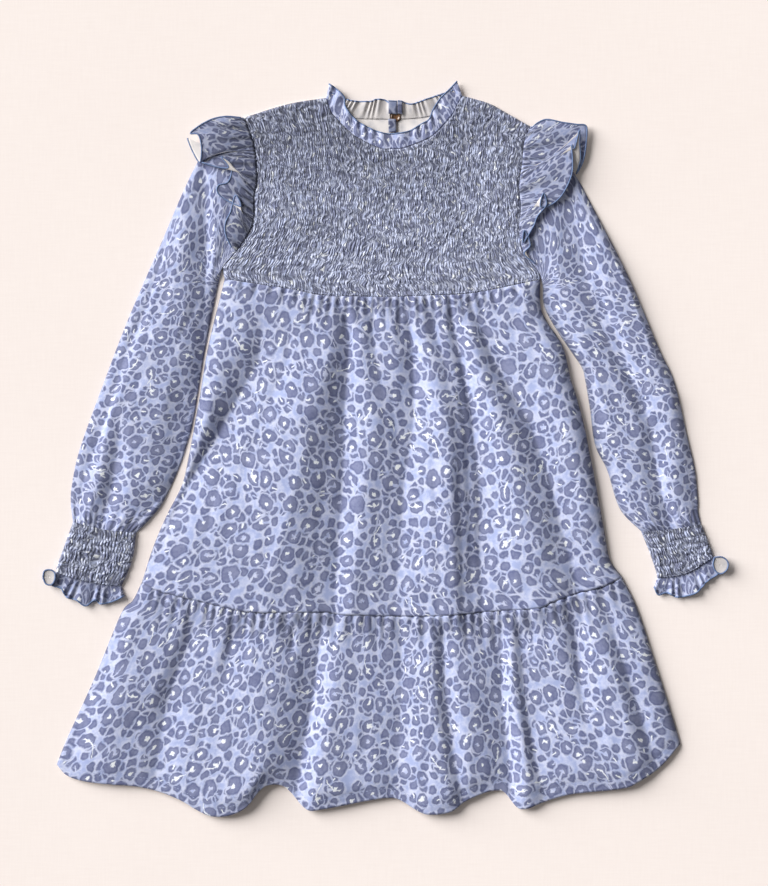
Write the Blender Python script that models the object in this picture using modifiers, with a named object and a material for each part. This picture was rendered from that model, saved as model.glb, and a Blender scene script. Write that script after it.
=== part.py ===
"""A child's long-sleeved dress with a smocked bodice, laid flat on its back.

Run with blender --background --python part.py. The model is in metres, +Z up, with +Y towards
the neck. The tables and sizes below are in millimetres, seen from above. Each piece of cloth is
cut and placed as a maker would: back panels lie flat on the surface, front panels lie on them,
sleeves and cuffs are flattened tubes, and frills and ruffles lie on what is under them.
"""

import bmesh
import bpy
import numpy as np

MM = 0.001
NAME = "smocked_dress"

# Cloth and the spaces between pieces.
CLOTH = 1.3
SEAM_GAP = 0.5
LAYER_GAP = 0.3
FRONT_LEVEL = CLOTH + LAYER_GAP
BACK_SIDE_INSET = 1.0
BACK_HEM_LIFT = 3.0
OUTLINE_CENTRE = (0.302, 0.056)

# Smocking of the bodice front and the cuffs.
BODICE_RIBS = 48
BODICE_RIB_HEIGHT = 1.1
CUFF_RIBS = 10
CUFF_RIB_HEIGHT = 0.9
CUFF_TOP = 3.6

# Flattened sleeves.
TUBE_EDGE_TOP = 3.2
TUBE_EDGE_ROUND = 1.0
SLEEVE_HEAD_TOP = 3.5
SLEEVE_TOP = 5.6
SLEEVE_FOLD_HEIGHT = 0.6
SLEEVE_FOLDS_ACROSS = 1.5
SLEEVE_FOLDS_DOWN = 2.0
ARMHOLE_POINTS = 11
UNDERARM_OUTER = 0.43  # where the line across the underarm meets each edge of the sleeve
UNDERARM_INNER = 0.065
UNDERARM_SPREAD = 0.75

# Frills and ruffles: number of waves and how high they stand.
NECK_WAVES = 14
BACK_NECK_WAVES = 5
NECK_WAVE_HEIGHT = 1.6
RUFFLE_WAVES = 6
RUFFLE_WAVE_HEIGHT = 3.6
CUFF_FRILL_WAVES = 7
CUFF_FRILL_HEIGHT = 2.0
WAIST_GATHERS = 16
WAIST_GATHER_MIDDLE = 0.48
WAIST_GATHER_HEIGHT = 1.3
WAIST_GATHER_REACH = 55.0
TIER_GATHERS = 24
TIER_GATHER_HEIGHT = 1.5
TIER_GATHER_REACH = 60.0
TIER_DEPTH = 170.0
SKIRT_COLUMNS = 57
SKIRT_ROWS = 11
TIER_ROWS = 9

# Keyhole slit at the centre back, with its button.
SLIT_X = 11.4
SLIT_WIDTH = 1.4
SLIT_END_Y = 232.0
BUTTON_CENTRE = (9.8, 305.4)
BUTTON_RADIUS = 4.5
BUTTON_CLEARANCE = 0.4
BUTTON_PROFILE = (  # radius, height
    (0.0, 2.0),
    (2.9, 2.0),
    (3.3, 2.4),
    (4.1, 2.4),
    (4.5, 1.9),
    (4.5, 0.5),
    (4.0, 0.0),
    (0.0, 0.0),
)

# The folded ends of the back frill, which pass over the button, and the binding beside the slit.
FRILL_END_CLEARANCE = 0.4
FRILL_END_LEFT = ((3.2, 308.2), (11.2, 307.6), (11.2, 319.6), (3.2, 320.2))
FRILL_END_RIGHT = ((11.6, 308.2), (16.0, 307.6), (16.0, 319.6), (11.6, 320.2))
BACK_FRILL_LEFT_END = (5.0, 303.0)
BACK_FRILL_RIGHT_START = (15.2, 303.0)
BINDING_TOP = ((2.9, 303.6), (10.4, 303.3))
BINDING_BOTTOM = ((3.4, 290.9), (10.4, 290.9))
BINDING_RISE = 1.3

# Seam lines and outlines: x, y in each row.
WAIST = (
    (-147.5, 156.2), (-118.7, 151.8), (-82.8, 146.3), (-61.6, 141.7), (-32.2, 140.3), (-0.9, 139.8),
    (32.2, 140.8), (74.5, 142.6), (103.0, 147.2), (124.2, 151.8), (142.8, 155.5),
)
SHOULDER_LEFT = ((-130.6, 304.5), (-90.0, 317.0), (-54.0, 323.0))
SHOULDER_RIGHT = ((71.0, 325.0), (95.0, 318.0), (110.0, 310.0), (134.3, 296.2))
NECK_FRONT = (
    (-54.0, 323.0), (-50.3, 311.5), (-41.9, 301.2), (-33.4, 292.7), (-24.0, 285.7), (-4.3, 276.6),
    (7.0, 276.0), (18.2, 277.2), (38.6, 285.2), (48.2, 292.3), (61.4, 306.8), (66.0, 316.0), (71.0, 325.0),
)
NECK_BACK_LEFT = ((-54.0, 323.0), (-40.0, 308.0), (-28.0, 304.0), (5.6, 303.0))
NECK_BACK_RIGHT = ((14.0, 303.0), (39.0, 305.5), (55.0, 312.0), (71.0, 325.0))
ARMHOLE_LEFT = (
    (-130.6, 304.5), (-121.4, 278.8), (-118.7, 250.2), (-121.4, 231.8), (-122.4, 207.9),
    (-133.4, 187.7), (-149.5, 167.0),
)
ARMHOLE_RIGHT = (
    (134.3, 296.2), (128.8, 281.5), (127.0, 264.0), (124.2, 242.0), (125.7, 221.7), (124.2, 200.6),
    (128.5, 180.0), (141.5, 163.0),
)
SKIRT_LEFT = (
    (-147.5, 156.2), (-152.7, 135.2), (-159.2, 109.5), (-165.1, 81.9), (-169.7, 52.4), (-174.3, 27.6),
    (-180.3, -5.5), (-186.8, -33.1), (-200.6, -60.7), (-212.5, -88.3), (-223.6, -122.4),
)
SKIRT_RIGHT = (
    (142.8, 155.5), (143.2, 131.0), (149.0, 116.8), (157.3, 104.9), (164.7, 91.1), (171.1, 63.5),
    (175.7, 49.7), (183.1, 22.1), (188.6, -5.5), (194.1, -33.1), (202.4, -79.1), (207.0, -102.1),
    (218.0, -117.8),
)
TIER_SEAM = (
    (-223.6, -122.4), (-207.0, -130.6), (-185.8, -136.2), (-170.2, -139.8), (-143.5, -146.3),
    (-117.8, -150.0), (-57.0, -150.0), (-34.0, -152.3), (40.5, -153.6), (99.4, -149.0),
    (138.9, -146.3), (154.6, -140.3), (179.4, -132.0), (202.4, -125.6), (218.0, -117.8),
)
TIER_LEFT = (
    (-223.6, -122.4), (-231.8, -138.9), (-242.9, -151.8), (-266.8, -209.8), (-292.6, -266.8),
    (-301.8, -290.0),
)
TIER_RIGHT = (
    (218.0, -117.8), (229.1, -139.8), (237.4, -161.9), (248.4, -196.0), (257.6, -224.5),
    (265.9, -251.2), (271.6, -271.0),
)
HEM = (
    (-301.8, -290.0), (-292.6, -299.9), (-276.0, -305.4), (-251.2, -308.2), (-229.1, -310.0),
    (-207.0, -315.1), (-187.7, -322.9), (-172.0, -332.1), (-159.2, -337.4), (-143.5, -336.7),
    (-127.9, -329.4), (-115.9, -314.6), (-107.6, -308.8), (-95.7, -308.8), (-87.4, -314.6),
    (-72.7, -330.7), (-58.9, -331.2), (-14.7, -322.9), (2.8, -320.7), (13.8, -322.5),
    (33.1, -334.0), (46.0, -335.8), (61.6, -332.7), (73.6, -323.8), (91.1, -316.0),
    (103.0, -313.7), (110.4, -316.0), (121.4, -329.4), (131.1, -330.3), (142.6, -325.7),
    (170.2, -317.4), (218.0, -311.9), (233.7, -305.4), (253.0, -292.2), (271.6, -271.0),
)
SLEEVE_LEFT_OUTER = (
    (-130.6, 304.5), (-156.4, 289.0), (-170.2, 268.0), (-186.0, 236.0), (-203.0, 196.0),
    (-236.0, 120.0), (-262.0, 52.0), (-281.0, -1.0), (-288.0, -33.0), (-289.0, -50.0), (-287.0, -67.0),
)
SLEEVE_LEFT_INNER = (
    (-149.5, 167.0), (-153.5, 150.0), (-158.8, 125.0), (-166.8, 84.0), (-175.8, 28.5),
    (-182.2, 4.0), (-190.0, -19.0), (-203.0, -47.0), (-213.0, -61.0), (-228.5, -77.0),
)
SLEEVE_RIGHT_OUTER = (
    (134.3, 296.2), (156.0, 276.0), (175.4, 251.2), (187.7, 229.1), (223.6, 159.2), (252.1, 92.3),
    (266.3, 61.3), (278.8, 8.3), (285.2, -19.3), (288.0, -46.9), (288.0, -57.0), (290.7, -69.0),
)
SLEEVE_RIGHT_INNER = (
    (141.5, 163.0), (144.8, 150.0), (145.6, 134.0), (151.5, 120.0), (162.0, 103.0), (172.0, 88.3),
    (181.2, 74.5), (184.0, 63.5), (188.6, 35.9), (193.2, 3.7), (204.2, -19.3), (212.5, -46.9),
    (219.9, -60.7), (235.3, -75.4),
)
CUFF_LEFT_TOP = ((-287.0, -67.0), (-258.0, -74.0), (-228.5, -77.0))
CUFF_LEFT_SIDES = (
    ((-287.0, -67.0), (-295.0, -89.2), (-300.8, -104.9), (-303.0, -113.2)),
    ((-228.5, -77.0), (-232.8, -103.0), (-242.1, -126.0)),
)
CUFF_LEFT_END = ((-303.0, -113.2), (-273.0, -122.0), (-242.1, -126.0))
CUFF_RIGHT_TOP = ((290.7, -69.0), (262.0, -74.0), (235.3, -75.4))
CUFF_RIGHT_SIDES = (
    ((290.7, -69.0), (297.2, -84.6), (302.0, -98.9)),
    ((235.3, -75.4), (242.9, -94.2), (249.3, -113.0), (250.2, -118.7)),
)
CUFF_RIGHT_END = ((302.0, -98.9), (277.0, -114.0), (250.2, -118.7))
CUFF_FRILL_LEFT_EDGE = (
    (-314.6, -119.0), (-305.4, -125.6), (-297.7, -127.9), (-292.6, -136.0), (-284.0, -138.5),
    (-275.1, -144.1), (-266.8, -138.5), (-260.9, -142.3), (-249.0, -139.5), (-239.8, -134.8),
)
CUFF_FRILL_RIGHT_EDGE = (
    (315.2, -108.5), (304.0, -116.5), (296.2, -121.4), (287.0, -131.4), (277.8, -134.8), (268.0, -136.0),
    (259.0, -132.0), (251.2, -134.0), (247.5, -127.0),
)
NECK_FRILL_EDGE = (
    (-51.5, 335.5), (-45.0, 331.2), (-37.7, 323.8), (-36.8, 315.6), (-32.2, 308.2), (-26.7, 302.2),
    (-19.3, 297.6), (-9.2, 292.6), (1.8, 289.8), (13.8, 290.3), (23.9, 293.0), (33.0, 298.5),
    (40.5, 303.1), (44.2, 311.9), (50.6, 322.0), (58.0, 329.4), (66.2, 338.0),
)
BACK_FRILL_LEFT_EDGE = (
    (-48.0, 327.0), (-31.6, 320.4), (-13.8, 319.5), (-8.3, 321.4), (-0.6, 321.0), (4.2, 318.0),
)
BACK_FRILL_RIGHT_EDGE = (
    (15.4, 319.5), (23.0, 317.0), (29.4, 318.4), (37.0, 321.2), (48.2, 325.0), (62.0, 329.5),
)
RUFFLE_LEFT_SHOULDER = ((-131.3, 305.0), (-146.3, 305.9), (-158.2, 303.1), (-170.2, 295.8), (-181.2, 286.1))
RUFFLE_LEFT_EDGE = (
    (-181.2, 286.1), (-177.6, 275.1), (-171.1, 263.1), (-159.2, 254.8), (-152.7, 241.0),
    (-150.0, 229.1), (-146.3, 217.1), (-146.3, 199.6), (-139.9, 186.8),
)
RUFFLE_LEFT_REACH = 0.84
RUFFLE_RIGHT_SHOULDER = ((135.2, 296.2), (140.0, 299.9), (149.0, 302.7), (162.8, 299.9), (185.4, 295.8))
RUFFLE_RIGHT_EDGE = (
    (185.4, 295.8), (184.9, 281.5), (182.2, 265.0), (173.9, 250.2), (162.8, 233.7), (154.6, 224.5),
    (143.5, 220.0), (139.8, 211.6), (137.1, 201.5), (136.2, 187.7), (138.9, 173.5),
)
RUFFLE_RIGHT_REACH = 0.88

# Folds of the front panels: places along the fold (top, middle, end), its half width and its
# height at both ends. A negative height is a trough.
SKIRT_FOLDS = (  # top x, top y, middle x, middle y, end x, end y, half width, height top, height end
    (-103.0, 110.0, -146.0, 30.0, -180.0, -34.0, 9.0, -0.8, -1.5),
    (-31.0, 128.0, -54.0, 40.0, -86.0, -74.0, 12.0, -1.6, -1.8),
    (13.0, 138.0, 7.0, 40.0, -10.0, -92.0, 9.0, -1.6, -1.4),
    (59.0, 136.0, 71.0, 40.0, 78.0, -80.0, 8.0, -1.6, -1.4),
    (72.0, 119.0, 102.0, 45.0, 137.0, -86.0, 9.0, -1.2, -1.6),
    (-70.0, 120.0, -97.0, 20.0, -128.0, -110.0, 16.0, 0.8, 1.8),
    (-10.0, 128.0, -18.0, 30.0, -42.0, -110.0, 14.0, 0.9, 1.6),
    (31.0, 130.0, 31.0, 50.0, 37.0, -80.0, 10.0, 1.4, 1.8),
    (80.0, 94.0, 86.0, 40.0, 106.0, -100.0, 9.0, 1.2, 1.5),
)
TIER_FOLDS = (  # top x, top y, middle x, middle y, end x, end y, half width, height top, height end
    (-181.0, -160.0, -205.0, -215.0, -243.0, -262.0, 9.0, -0.8, -1.4),
    (-104.0, -158.0, -102.0, -235.0, -112.0, -305.0, 12.0, -1.0, -2.4),
    (-51.0, -156.0, -65.0, -225.0, -84.0, -312.0, 10.0, -1.4, -2.4),
    (13.0, -156.0, 20.0, -230.0, 6.0, -318.0, 12.0, -1.2, -2.0),
    (104.0, -152.0, 110.0, -220.0, 104.0, -312.0, 10.0, -1.4, -2.4),
    (208.0, -152.0, 222.0, -225.0, 242.0, -285.0, 9.0, -0.8, -1.4),
    (-215.0, -150.0, -245.0, -220.0, -270.0, -290.0, 14.0, 0.4, 1.6),
    (-140.0, -160.0, -150.0, -240.0, -158.0, -325.0, 18.0, 0.6, 4.6),
    (-34.0, -160.0, -40.0, -240.0, -52.0, -322.0, 17.0, 0.8, 4.2),
    (60.0, -162.0, 52.0, -240.0, 48.0, -326.0, 18.0, 0.6, 4.6),
    (118.0, -156.0, 126.0, -240.0, 132.0, -322.0, 11.0, 0.8, 3.8),
    (180.0, -150.0, 192.0, -230.0, 204.0, -306.0, 18.0, 0.4, 2.6),
)
PANEL_LIFT = 2.4
TIER_LIFT = 1.44

COLOURS = {
    "printed": (0.34, 0.41, 0.60),
    "smocked": (0.26, 0.31, 0.45),
    "wrong_side": (0.78, 0.73, 0.66),
    "button": (0.16, 0.08, 0.04),
}


def cleared_scene():
    """Removes what the file holds and returns the collection that the pieces go in."""
    for obj in list(bpy.data.objects):
        bpy.data.objects.remove(obj, do_unlink=True)
    pieces = bpy.data.collections.new(NAME)
    bpy.context.scene.collection.children.link(pieces)
    return pieces


def material_for(name, colour, roughness):
    material = bpy.data.materials.new(name)
    material.use_nodes = True
    shader = material.node_tree.nodes["Principled BSDF"]
    shader.inputs["Base Color"].default_value = (*colour, 1.0)
    shader.inputs["Roughness"].default_value = roughness
    shader.inputs["Metallic"].default_value = 0.0
    return material


def smooth_curve(points, steps=16):
    """A close row of points on a smooth curve through the points of a table."""
    points = np.array(points, dtype=float)
    ends = np.vstack([2 * points[0] - points[1], points, 2 * points[-1] - points[-2]])
    t = np.linspace(0.0, 1.0, steps, endpoint=False)[:, None]
    spans = []
    for before, start, stop, after in zip(ends[:-3], ends[1:-2], ends[2:-1], ends[3:], strict=True):
        slope_start = (stop - before) / 2
        slope_stop = (after - start) / 2
        spans.append(
            (2 * t**3 - 3 * t**2 + 1) * start
            + (t**3 - 2 * t**2 + t) * slope_start
            + (3 * t**2 - 2 * t**3) * stop
            + (t**3 - t**2) * slope_stop
        )
    return np.vstack([*spans, points[-1:]])


def by_length(points, places):
    """Points of the smooth curve at these fractions of its length."""
    curve = smooth_curve(points)
    steps = np.hypot(*np.diff(curve, axis=0).T)
    reach = np.concatenate([[0.0], np.cumsum(steps)]) / steps.sum()
    return np.column_stack([np.interp(places, reach, curve[:, axis]) for axis in (0, 1)])


def by_x(points, places):
    """Points of the smooth curve at these fractions of its width."""
    curve = smooth_curve(points)
    x = curve[0, 0] + np.asarray(places) * (curve[-1, 0] - curve[0, 0])
    order = np.argsort(curve[:, 0])
    return np.column_stack([x, np.interp(x, curve[order, 0], curve[order, 1])])


def patch(top, bottom, left, right, across, down):
    """A grid of plan points between four edges. Row 0 is the top edge and column 0 the left."""
    u = np.asarray(across)[None, :, None]
    v = np.asarray(down)[:, None, None]
    between_rows = (1 - v) * top[None] + v * bottom[None]
    between_sides = (1 - u) * left[:, None] + u * right[:, None]
    corners = (1 - v) * ((1 - u) * top[0] + u * top[-1]) + v * ((1 - u) * bottom[0] + u * bottom[-1])
    return between_rows + between_sides - corners


def inward(edge, inner):
    """Unit vectors square to an edge, on the side of the row beside it."""
    along = np.gradient(edge, axis=0)
    along /= np.linalg.norm(along, axis=1, keepdims=True)
    square = np.column_stack([-along[:, 1], along[:, 0]])
    return square * np.sign(((inner - edge) * square).sum())


def pulled_in(plan, distance, sides=True):
    """The plan with its rim moved inwards, which leaves a gap at each seam."""
    rim = plan.copy()
    rim[0] += inward(plan[0], plan[1]) * distance
    rim[-1] += inward(plan[-1], plan[-2]) * distance
    if sides:
        rim[:, 0] += inward(plan[:, 0], plan[:, 1]) * distance
        rim[:, -1] += inward(plan[:, -1], plan[:, -2]) * distance
    return rim


def ramp(value, start, stop):
    """0 before start and 1 after stop, smooth between them."""
    t = np.clip((value - start) / (stop - start), 0.0, 1.0)
    return t * t * (3 - 2 * t)


def fold_height(plan, folds):
    """Height that the ridges and troughs of a fold table give at each plan point."""
    x = plan[..., 0]
    y = plan[..., 1]
    height = np.zeros(x.shape)
    for top_x, top_y, middle_x, middle_y, end_x, end_y, half_width, high, low in folds:
        centre = np.interp(-y, (-top_y, -middle_y, -end_y), (top_x, middle_x, end_x))
        along = (y - top_y) / (end_y - top_y)
        size = high + (low - high) * np.clip(along, 0.0, 1.0)
        size = size * ramp(along, -0.12, 0.12) * (1 - 0.7 * ramp(along, 0.9, 1.15))
        height += size * np.exp(-(((x - centre) / half_width) ** 2))
    return height


def gathers(across, waves, unevenness=0.3):
    """Waves from 0 to 1 across a gathered edge, a little uneven."""
    turn = waves * across + unevenness * np.sin(2 * np.pi * 2.7 * across + 0.6)
    return 0.5 - 0.5 * np.cos(2 * np.pi * turn)


def mesh_object(name, vertices, faces, material, collection):
    """A mesh in metres from vertices in millimetres, centred on the dress's outline."""
    centred = np.array(vertices, dtype=float)
    centred[:, :2] -= OUTLINE_CENTRE
    mesh = bpy.data.meshes.new(name)
    mesh.from_pydata((centred * MM).tolist(), [], faces)
    mesh.materials.append(material)
    mesh.shade_smooth()
    obj = bpy.data.objects.new(name, mesh)
    collection.objects.link(obj)
    return obj


def grid_faces(rows, columns, closed=False):
    """Quads of a grid of points, row by row; closed joins the last column to the first."""
    faces = []
    for row in range(rows - 1):
        for column in range(columns if closed else columns - 1):
            following = (column + 1) % columns
            faces.append(
                (
                    row * columns + column,
                    (row + 1) * columns + column,
                    (row + 1) * columns + following,
                    row * columns + following,
                )
            )
    return faces


def outward(obj):
    """Turns all faces of a closed mesh outwards."""
    shape = bmesh.new()
    shape.from_mesh(obj.data)
    bmesh.ops.recalc_face_normals(shape, faces=shape.faces)
    shape.to_mesh(obj.data)
    shape.free()


def thickened(obj, thickness, offset):
    solid = obj.modifiers.new("cloth", "SOLIDIFY")
    solid.thickness = thickness * MM
    solid.offset = offset
    solid.use_rim = True


def sheet(name, plan, height, material, collection):
    """A panel of cloth: an open grid with its underside at this height, thickened upwards."""
    rows, columns = height.shape
    vertices = np.dstack([plan, height]).reshape(-1, 3)
    faces = grid_faces(rows, columns)
    down = plan[-1, 0] - plan[0, 0]
    across = plan[0, -1] - plan[0, 0]
    if down[0] * across[1] - down[1] * across[0] < 0:
        faces = [face[::-1] for face in faces]
    obj = mesh_object(name, vertices, faces, material, collection)
    thickened(obj, CLOTH, 1.0)
    return obj


def flat_panel(name, outline, level, material, collection):
    """A flat panel of cloth from its outline, which runs anticlockwise, thickened upwards."""
    vertices = np.column_stack([outline, np.full(len(outline), level)])
    obj = mesh_object(name, vertices, [tuple(range(len(outline)))], material, collection)
    thickened(obj, CLOTH, 1.0)
    return obj


def inset_outline(outline, distance):
    """An anticlockwise outline moved inwards by a distance."""
    before = np.roll(outline, 1, axis=0)
    after = np.roll(outline, -1, axis=0)
    normals = []
    for start, stop in ((before, outline), (outline, after)):
        along = stop - start
        along = along / np.linalg.norm(along, axis=1, keepdims=True)
        normals.append(np.column_stack([-along[:, 1], along[:, 0]]))
    both = normals[0] + normals[1]
    both /= np.linalg.norm(both, axis=1, keepdims=True)
    cosine = np.clip((both * normals[0]).sum(1, keepdims=True), 0.5, 1.0)
    return outline + both * distance / cosine


def smocked_panel(name, plan, top, level, material, collection):
    """A panel whose ribs stand out of its upper side only, over a plain flat inside."""
    rows, columns = top.shape
    upper = np.dstack([plan, top]).reshape(-1, 3)
    rim = list(range(columns))
    rim += [row * columns + columns - 1 for row in range(1, rows)]
    rim += [(rows - 1) * columns + column for column in range(columns - 2, -1, -1)]
    rim += [row * columns for row in range(rows - 2, 0, -1)]
    lower = upper[rim].copy()
    lower[:, 2] = level
    first = len(upper)
    faces = grid_faces(rows, columns)
    for place, corner in enumerate(rim):
        following = (place + 1) % len(rim)
        faces.append((corner, rim[following], first + following, first + place))
    faces.append(tuple(first + place for place in range(len(rim))))
    obj = mesh_object(name, np.vstack([upper, lower]), faces, material, collection)
    outward(obj)
    return obj


def across_row(row, inset):
    """A row of plan points with its two ends moved in along the row."""
    moved = row.copy()
    for end, beside in ((0, 1), (-1, -2)):
        along = row[beside] - row[end]
        moved[end] = row[end] + along / np.linalg.norm(along) * inset
    return moved


def ring(row, low, high, side_inset, corner_inset):
    """One closed section of a flattened tube, round its underside and back over its top."""
    sides = across_row(row, side_inset)
    corners = across_row(row, corner_inset)
    underside = np.column_stack([corners, np.full(len(row), low)])
    topside = np.column_stack([corners, high])[::-1]
    far = np.append(sides[-1], (low + high[-1]) / 2)
    near = np.append(sides[0], (low + high[0]) / 2)
    return np.vstack([underside, far, topside, near])


def tube(name, plan, inner_top, outer_top, material, collection):
    """A flattened tube of cloth, open at both ends, from sections along its length."""
    outer = [ring(row, 0.0, top, 0.0, TUBE_EDGE_ROUND) for row, top in zip(plan, outer_top, strict=True)]
    inner = [
        ring(row, CLOTH, top, CLOTH + 0.1, CLOTH + TUBE_EDGE_ROUND)
        for row, top in zip(plan, inner_top, strict=True)
    ]
    rows = len(outer)
    around = len(outer[0])
    faces = grid_faces(rows, around, closed=True)
    second = rows * around
    for face in grid_faces(rows, around, closed=True):
        faces.append(tuple(second + corner for corner in face[::-1]))
    for row in (0, rows - 1):
        for place in range(around):
            following = (place + 1) % around
            pair = (row * around + place, row * around + following)
            faces.append((pair[0], pair[1], second + pair[1], second + pair[0]))
    obj = mesh_object(name, np.vstack(outer + inner), faces, material, collection)
    outward(obj)
    return obj


def side_points(armhole, waist_end):
    """The bodice's side edge: the armhole's points and then the side seam down to the waist."""
    places = np.linspace(0.0, 1.0, ARMHOLE_POINTS)
    return np.vstack([by_length(armhole, places), [waist_end]])


def bodice_top_edge(columns):
    """The bodice front's top edge at these fractions of its width: shoulder, neck, shoulder."""
    neck = smooth_curve(NECK_FRONT)[1:]
    line = np.vstack([smooth_curve(SHOULDER_LEFT), neck, smooth_curve(SHOULDER_RIGHT)[1:]])
    x = line[0, 0] + columns * (line[-1, 0] - line[0, 0])
    return np.column_stack([x, np.interp(x, line[:, 0], line[:, 1])])


def bodice_front(materials, collection):
    columns = np.linspace(0.0, 1.0, 2 * BODICE_RIBS + 1)
    left = side_points(ARMHOLE_LEFT, WAIST[0])
    right = side_points(ARMHOLE_RIGHT, WAIST[-1])
    down = np.linspace(0.0, 1.0, len(left))
    plan = patch(bodice_top_edge(columns), by_x(WAIST, columns), left, right, columns, down)
    plan = pulled_in(plan, SEAM_GAP / 2)
    ribs = np.tile(np.arange(len(columns)) % 2, (len(down), 1)).astype(float)
    ribs[[0, -1]] *= 0.5
    top = FRONT_LEVEL + CLOTH + ribs * BODICE_RIB_HEIGHT
    return smocked_panel("bodice_front", plan, top, FRONT_LEVEL, materials["smocked"], collection)


def keyhole_outline():
    """The notch for the button and the slit below it, from right to left."""
    centre = np.array(BUTTON_CENTRE)
    reach = BUTTON_RADIUS + BUTTON_CLEARANCE
    right = SLIT_X + SLIT_WIDTH / 2
    left = SLIT_X - SLIT_WIDTH / 2

    def on_notch(x):
        return centre[1] - np.sqrt(reach**2 - (x - centre[0]) ** 2)

    right_arc = [(x, on_notch(x)) for x in np.linspace(NECK_BACK_RIGHT[0][0], right, 4)[1:]]
    left_arc = [(x, on_notch(x)) for x in np.linspace(left, NECK_BACK_LEFT[-1][0], 5)[:-1]]
    slit = [(right, SLIT_END_Y), (SLIT_X, SLIT_END_Y - SLIT_WIDTH / 2), (left, SLIT_END_Y)]
    return np.array(right_arc + slit + left_arc)


def bodice_back(materials, collection):
    places = np.linspace(0.0, 1.0, 12)
    few = np.linspace(0.0, 1.0, 6)
    outline = np.vstack(
        [
            side_points(ARMHOLE_LEFT, WAIST[0]),
            by_x(WAIST, places)[1:-1],
            side_points(ARMHOLE_RIGHT, WAIST[-1])[::-1],
            by_length(SHOULDER_RIGHT, few)[::-1][1:],
            by_length(NECK_BACK_RIGHT, places)[::-1][1:],
            keyhole_outline(),
            by_length(NECK_BACK_LEFT, places)[::-1],
            by_length(SHOULDER_LEFT, few)[::-1][1:-1],
        ]
    )
    outline = inset_outline(outline, SEAM_GAP / 2)
    return flat_panel("bodice_back", outline, 0.0, materials["wrong_side"], collection)


def back_outline(top, bottom, left, right, hem_lift=0.0):
    """A back panel's outline, a little inside its front panel at both sides and at the hem."""
    left = left + (BACK_SIDE_INSET, 0.0)
    right = right - (BACK_SIDE_INSET, 0.0)
    bottom = bottom + (0.0, hem_lift)
    ring_points = np.vstack([left[:-1], bottom[1:-1], right[::-1][:-1], top[::-1][1:-1]])
    return inset_outline(ring_points, SEAM_GAP / 2)


def skirt_front(materials, collection):
    columns = np.linspace(0.0, 1.0, SKIRT_COLUMNS)
    down = np.linspace(0.0, 1.0, SKIRT_ROWS)
    sides = (by_length(SKIRT_LEFT, down), by_length(SKIRT_RIGHT, down))
    plan = patch(by_x(WAIST, columns), by_x(TIER_SEAM, columns), *sides, columns, down)
    plan = pulled_in(plan, SEAM_GAP / 2)
    centre = 1 - ramp(abs(columns - WAIST_GATHER_MIDDLE), 0.2, 0.5)
    below_waist = (plan[..., 1].max() - plan[..., 1]) / WAIST_GATHER_REACH
    small = gathers(columns, WAIST_GATHERS)[None] * WAIST_GATHER_HEIGHT * (0.35 + 0.65 * centre[None])
    height = small * (1 - ramp(below_waist, 0.25, 1.2)) * ramp(down, -0.05, 0.06)[:, None]
    across_rim = ramp(np.minimum(columns, 1 - columns), 0.0, 0.1)
    rim = across_rim[None] * ramp(np.minimum(down, 1 - down), 0.0, 0.15)[:, None]
    height += rim * (PANEL_LIFT + fold_height(plan, SKIRT_FOLDS))
    height = FRONT_LEVEL + np.maximum(height, 0.0)
    return sheet("skirt_front", plan, height, materials["printed"], collection)


def skirt_back(materials, collection):
    places = np.linspace(0.0, 1.0, 16)
    sides = (by_length(SKIRT_LEFT, places), by_length(SKIRT_RIGHT, places))
    outline = back_outline(by_x(WAIST, places), by_x(TIER_SEAM, places), *sides)
    return flat_panel("skirt_back", outline, 0.0, materials["printed"], collection)


def tier_front(materials, collection):
    columns = np.linspace(0.0, 1.0, 3 * TIER_GATHERS + 1)
    down = np.linspace(0.0, 1.0, TIER_ROWS)
    sides = (by_length(TIER_LEFT, down), by_length(TIER_RIGHT, down))
    plan = patch(by_x(TIER_SEAM, columns), by_x(HEM, columns), *sides, columns, down)
    plan = pulled_in(plan, SEAM_GAP / 2)
    below_seam = down[:, None] * TIER_DEPTH / TIER_GATHER_REACH
    small = gathers(columns, TIER_GATHERS)[None] * TIER_GATHER_HEIGHT
    height = small * (1 - ramp(below_seam, 0.2, 1.2)) * ramp(down, -0.08, 0.1)[:, None]
    rim = ramp(np.minimum(columns, 1 - columns), 0.0, 0.07)[None] * ramp(down, 0.0, 0.3)[:, None]
    height += rim * (TIER_LIFT + fold_height(plan, TIER_FOLDS))
    height = FRONT_LEVEL + np.maximum(height, 0.0)
    return sheet("tier_front", plan, height, materials["printed"], collection)


def tier_back(materials, collection):
    few = np.linspace(0.0, 1.0, 8)
    seam = by_x(TIER_SEAM, np.linspace(0.0, 1.0, 16))
    hem = by_x(HEM, np.linspace(0.0, 1.0, 42))
    outline = back_outline(seam, hem, by_length(TIER_LEFT, few), by_length(TIER_RIGHT, few), BACK_HEM_LIFT)
    return flat_panel("tier_back", outline, 0.0, materials["printed"], collection)


def sleeve_plan(armhole, outer, inner, cuff_top, across, head_rows, arm_rows):
    """The sleeve from the armhole's points to a line across the underarm, and on to the cuff."""
    outer_end = by_length(outer, [UNDERARM_OUTER])
    inner_end = by_length(inner, [UNDERARM_INNER])
    underarm = inner_end + (outer_end - inner_end) * (1 - across[:, None]) ** UNDERARM_SPREAD
    head = np.linspace(0.0, 1.0, head_rows)
    arm = np.linspace(0.0, 1.0, arm_rows)
    upper = patch(
        by_length(armhole, across), underarm,
        by_length(outer, head * UNDERARM_OUTER), by_length(inner, head * UNDERARM_INNER), across, head,
    )
    lower = patch(
        underarm, by_length(cuff_top, across),
        by_length(outer, UNDERARM_OUTER + arm * (1 - UNDERARM_OUTER)),
        by_length(inner, UNDERARM_INNER + arm * (1 - UNDERARM_INNER)), across, arm,
    )
    return np.vstack([upper, lower[1:]])


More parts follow.
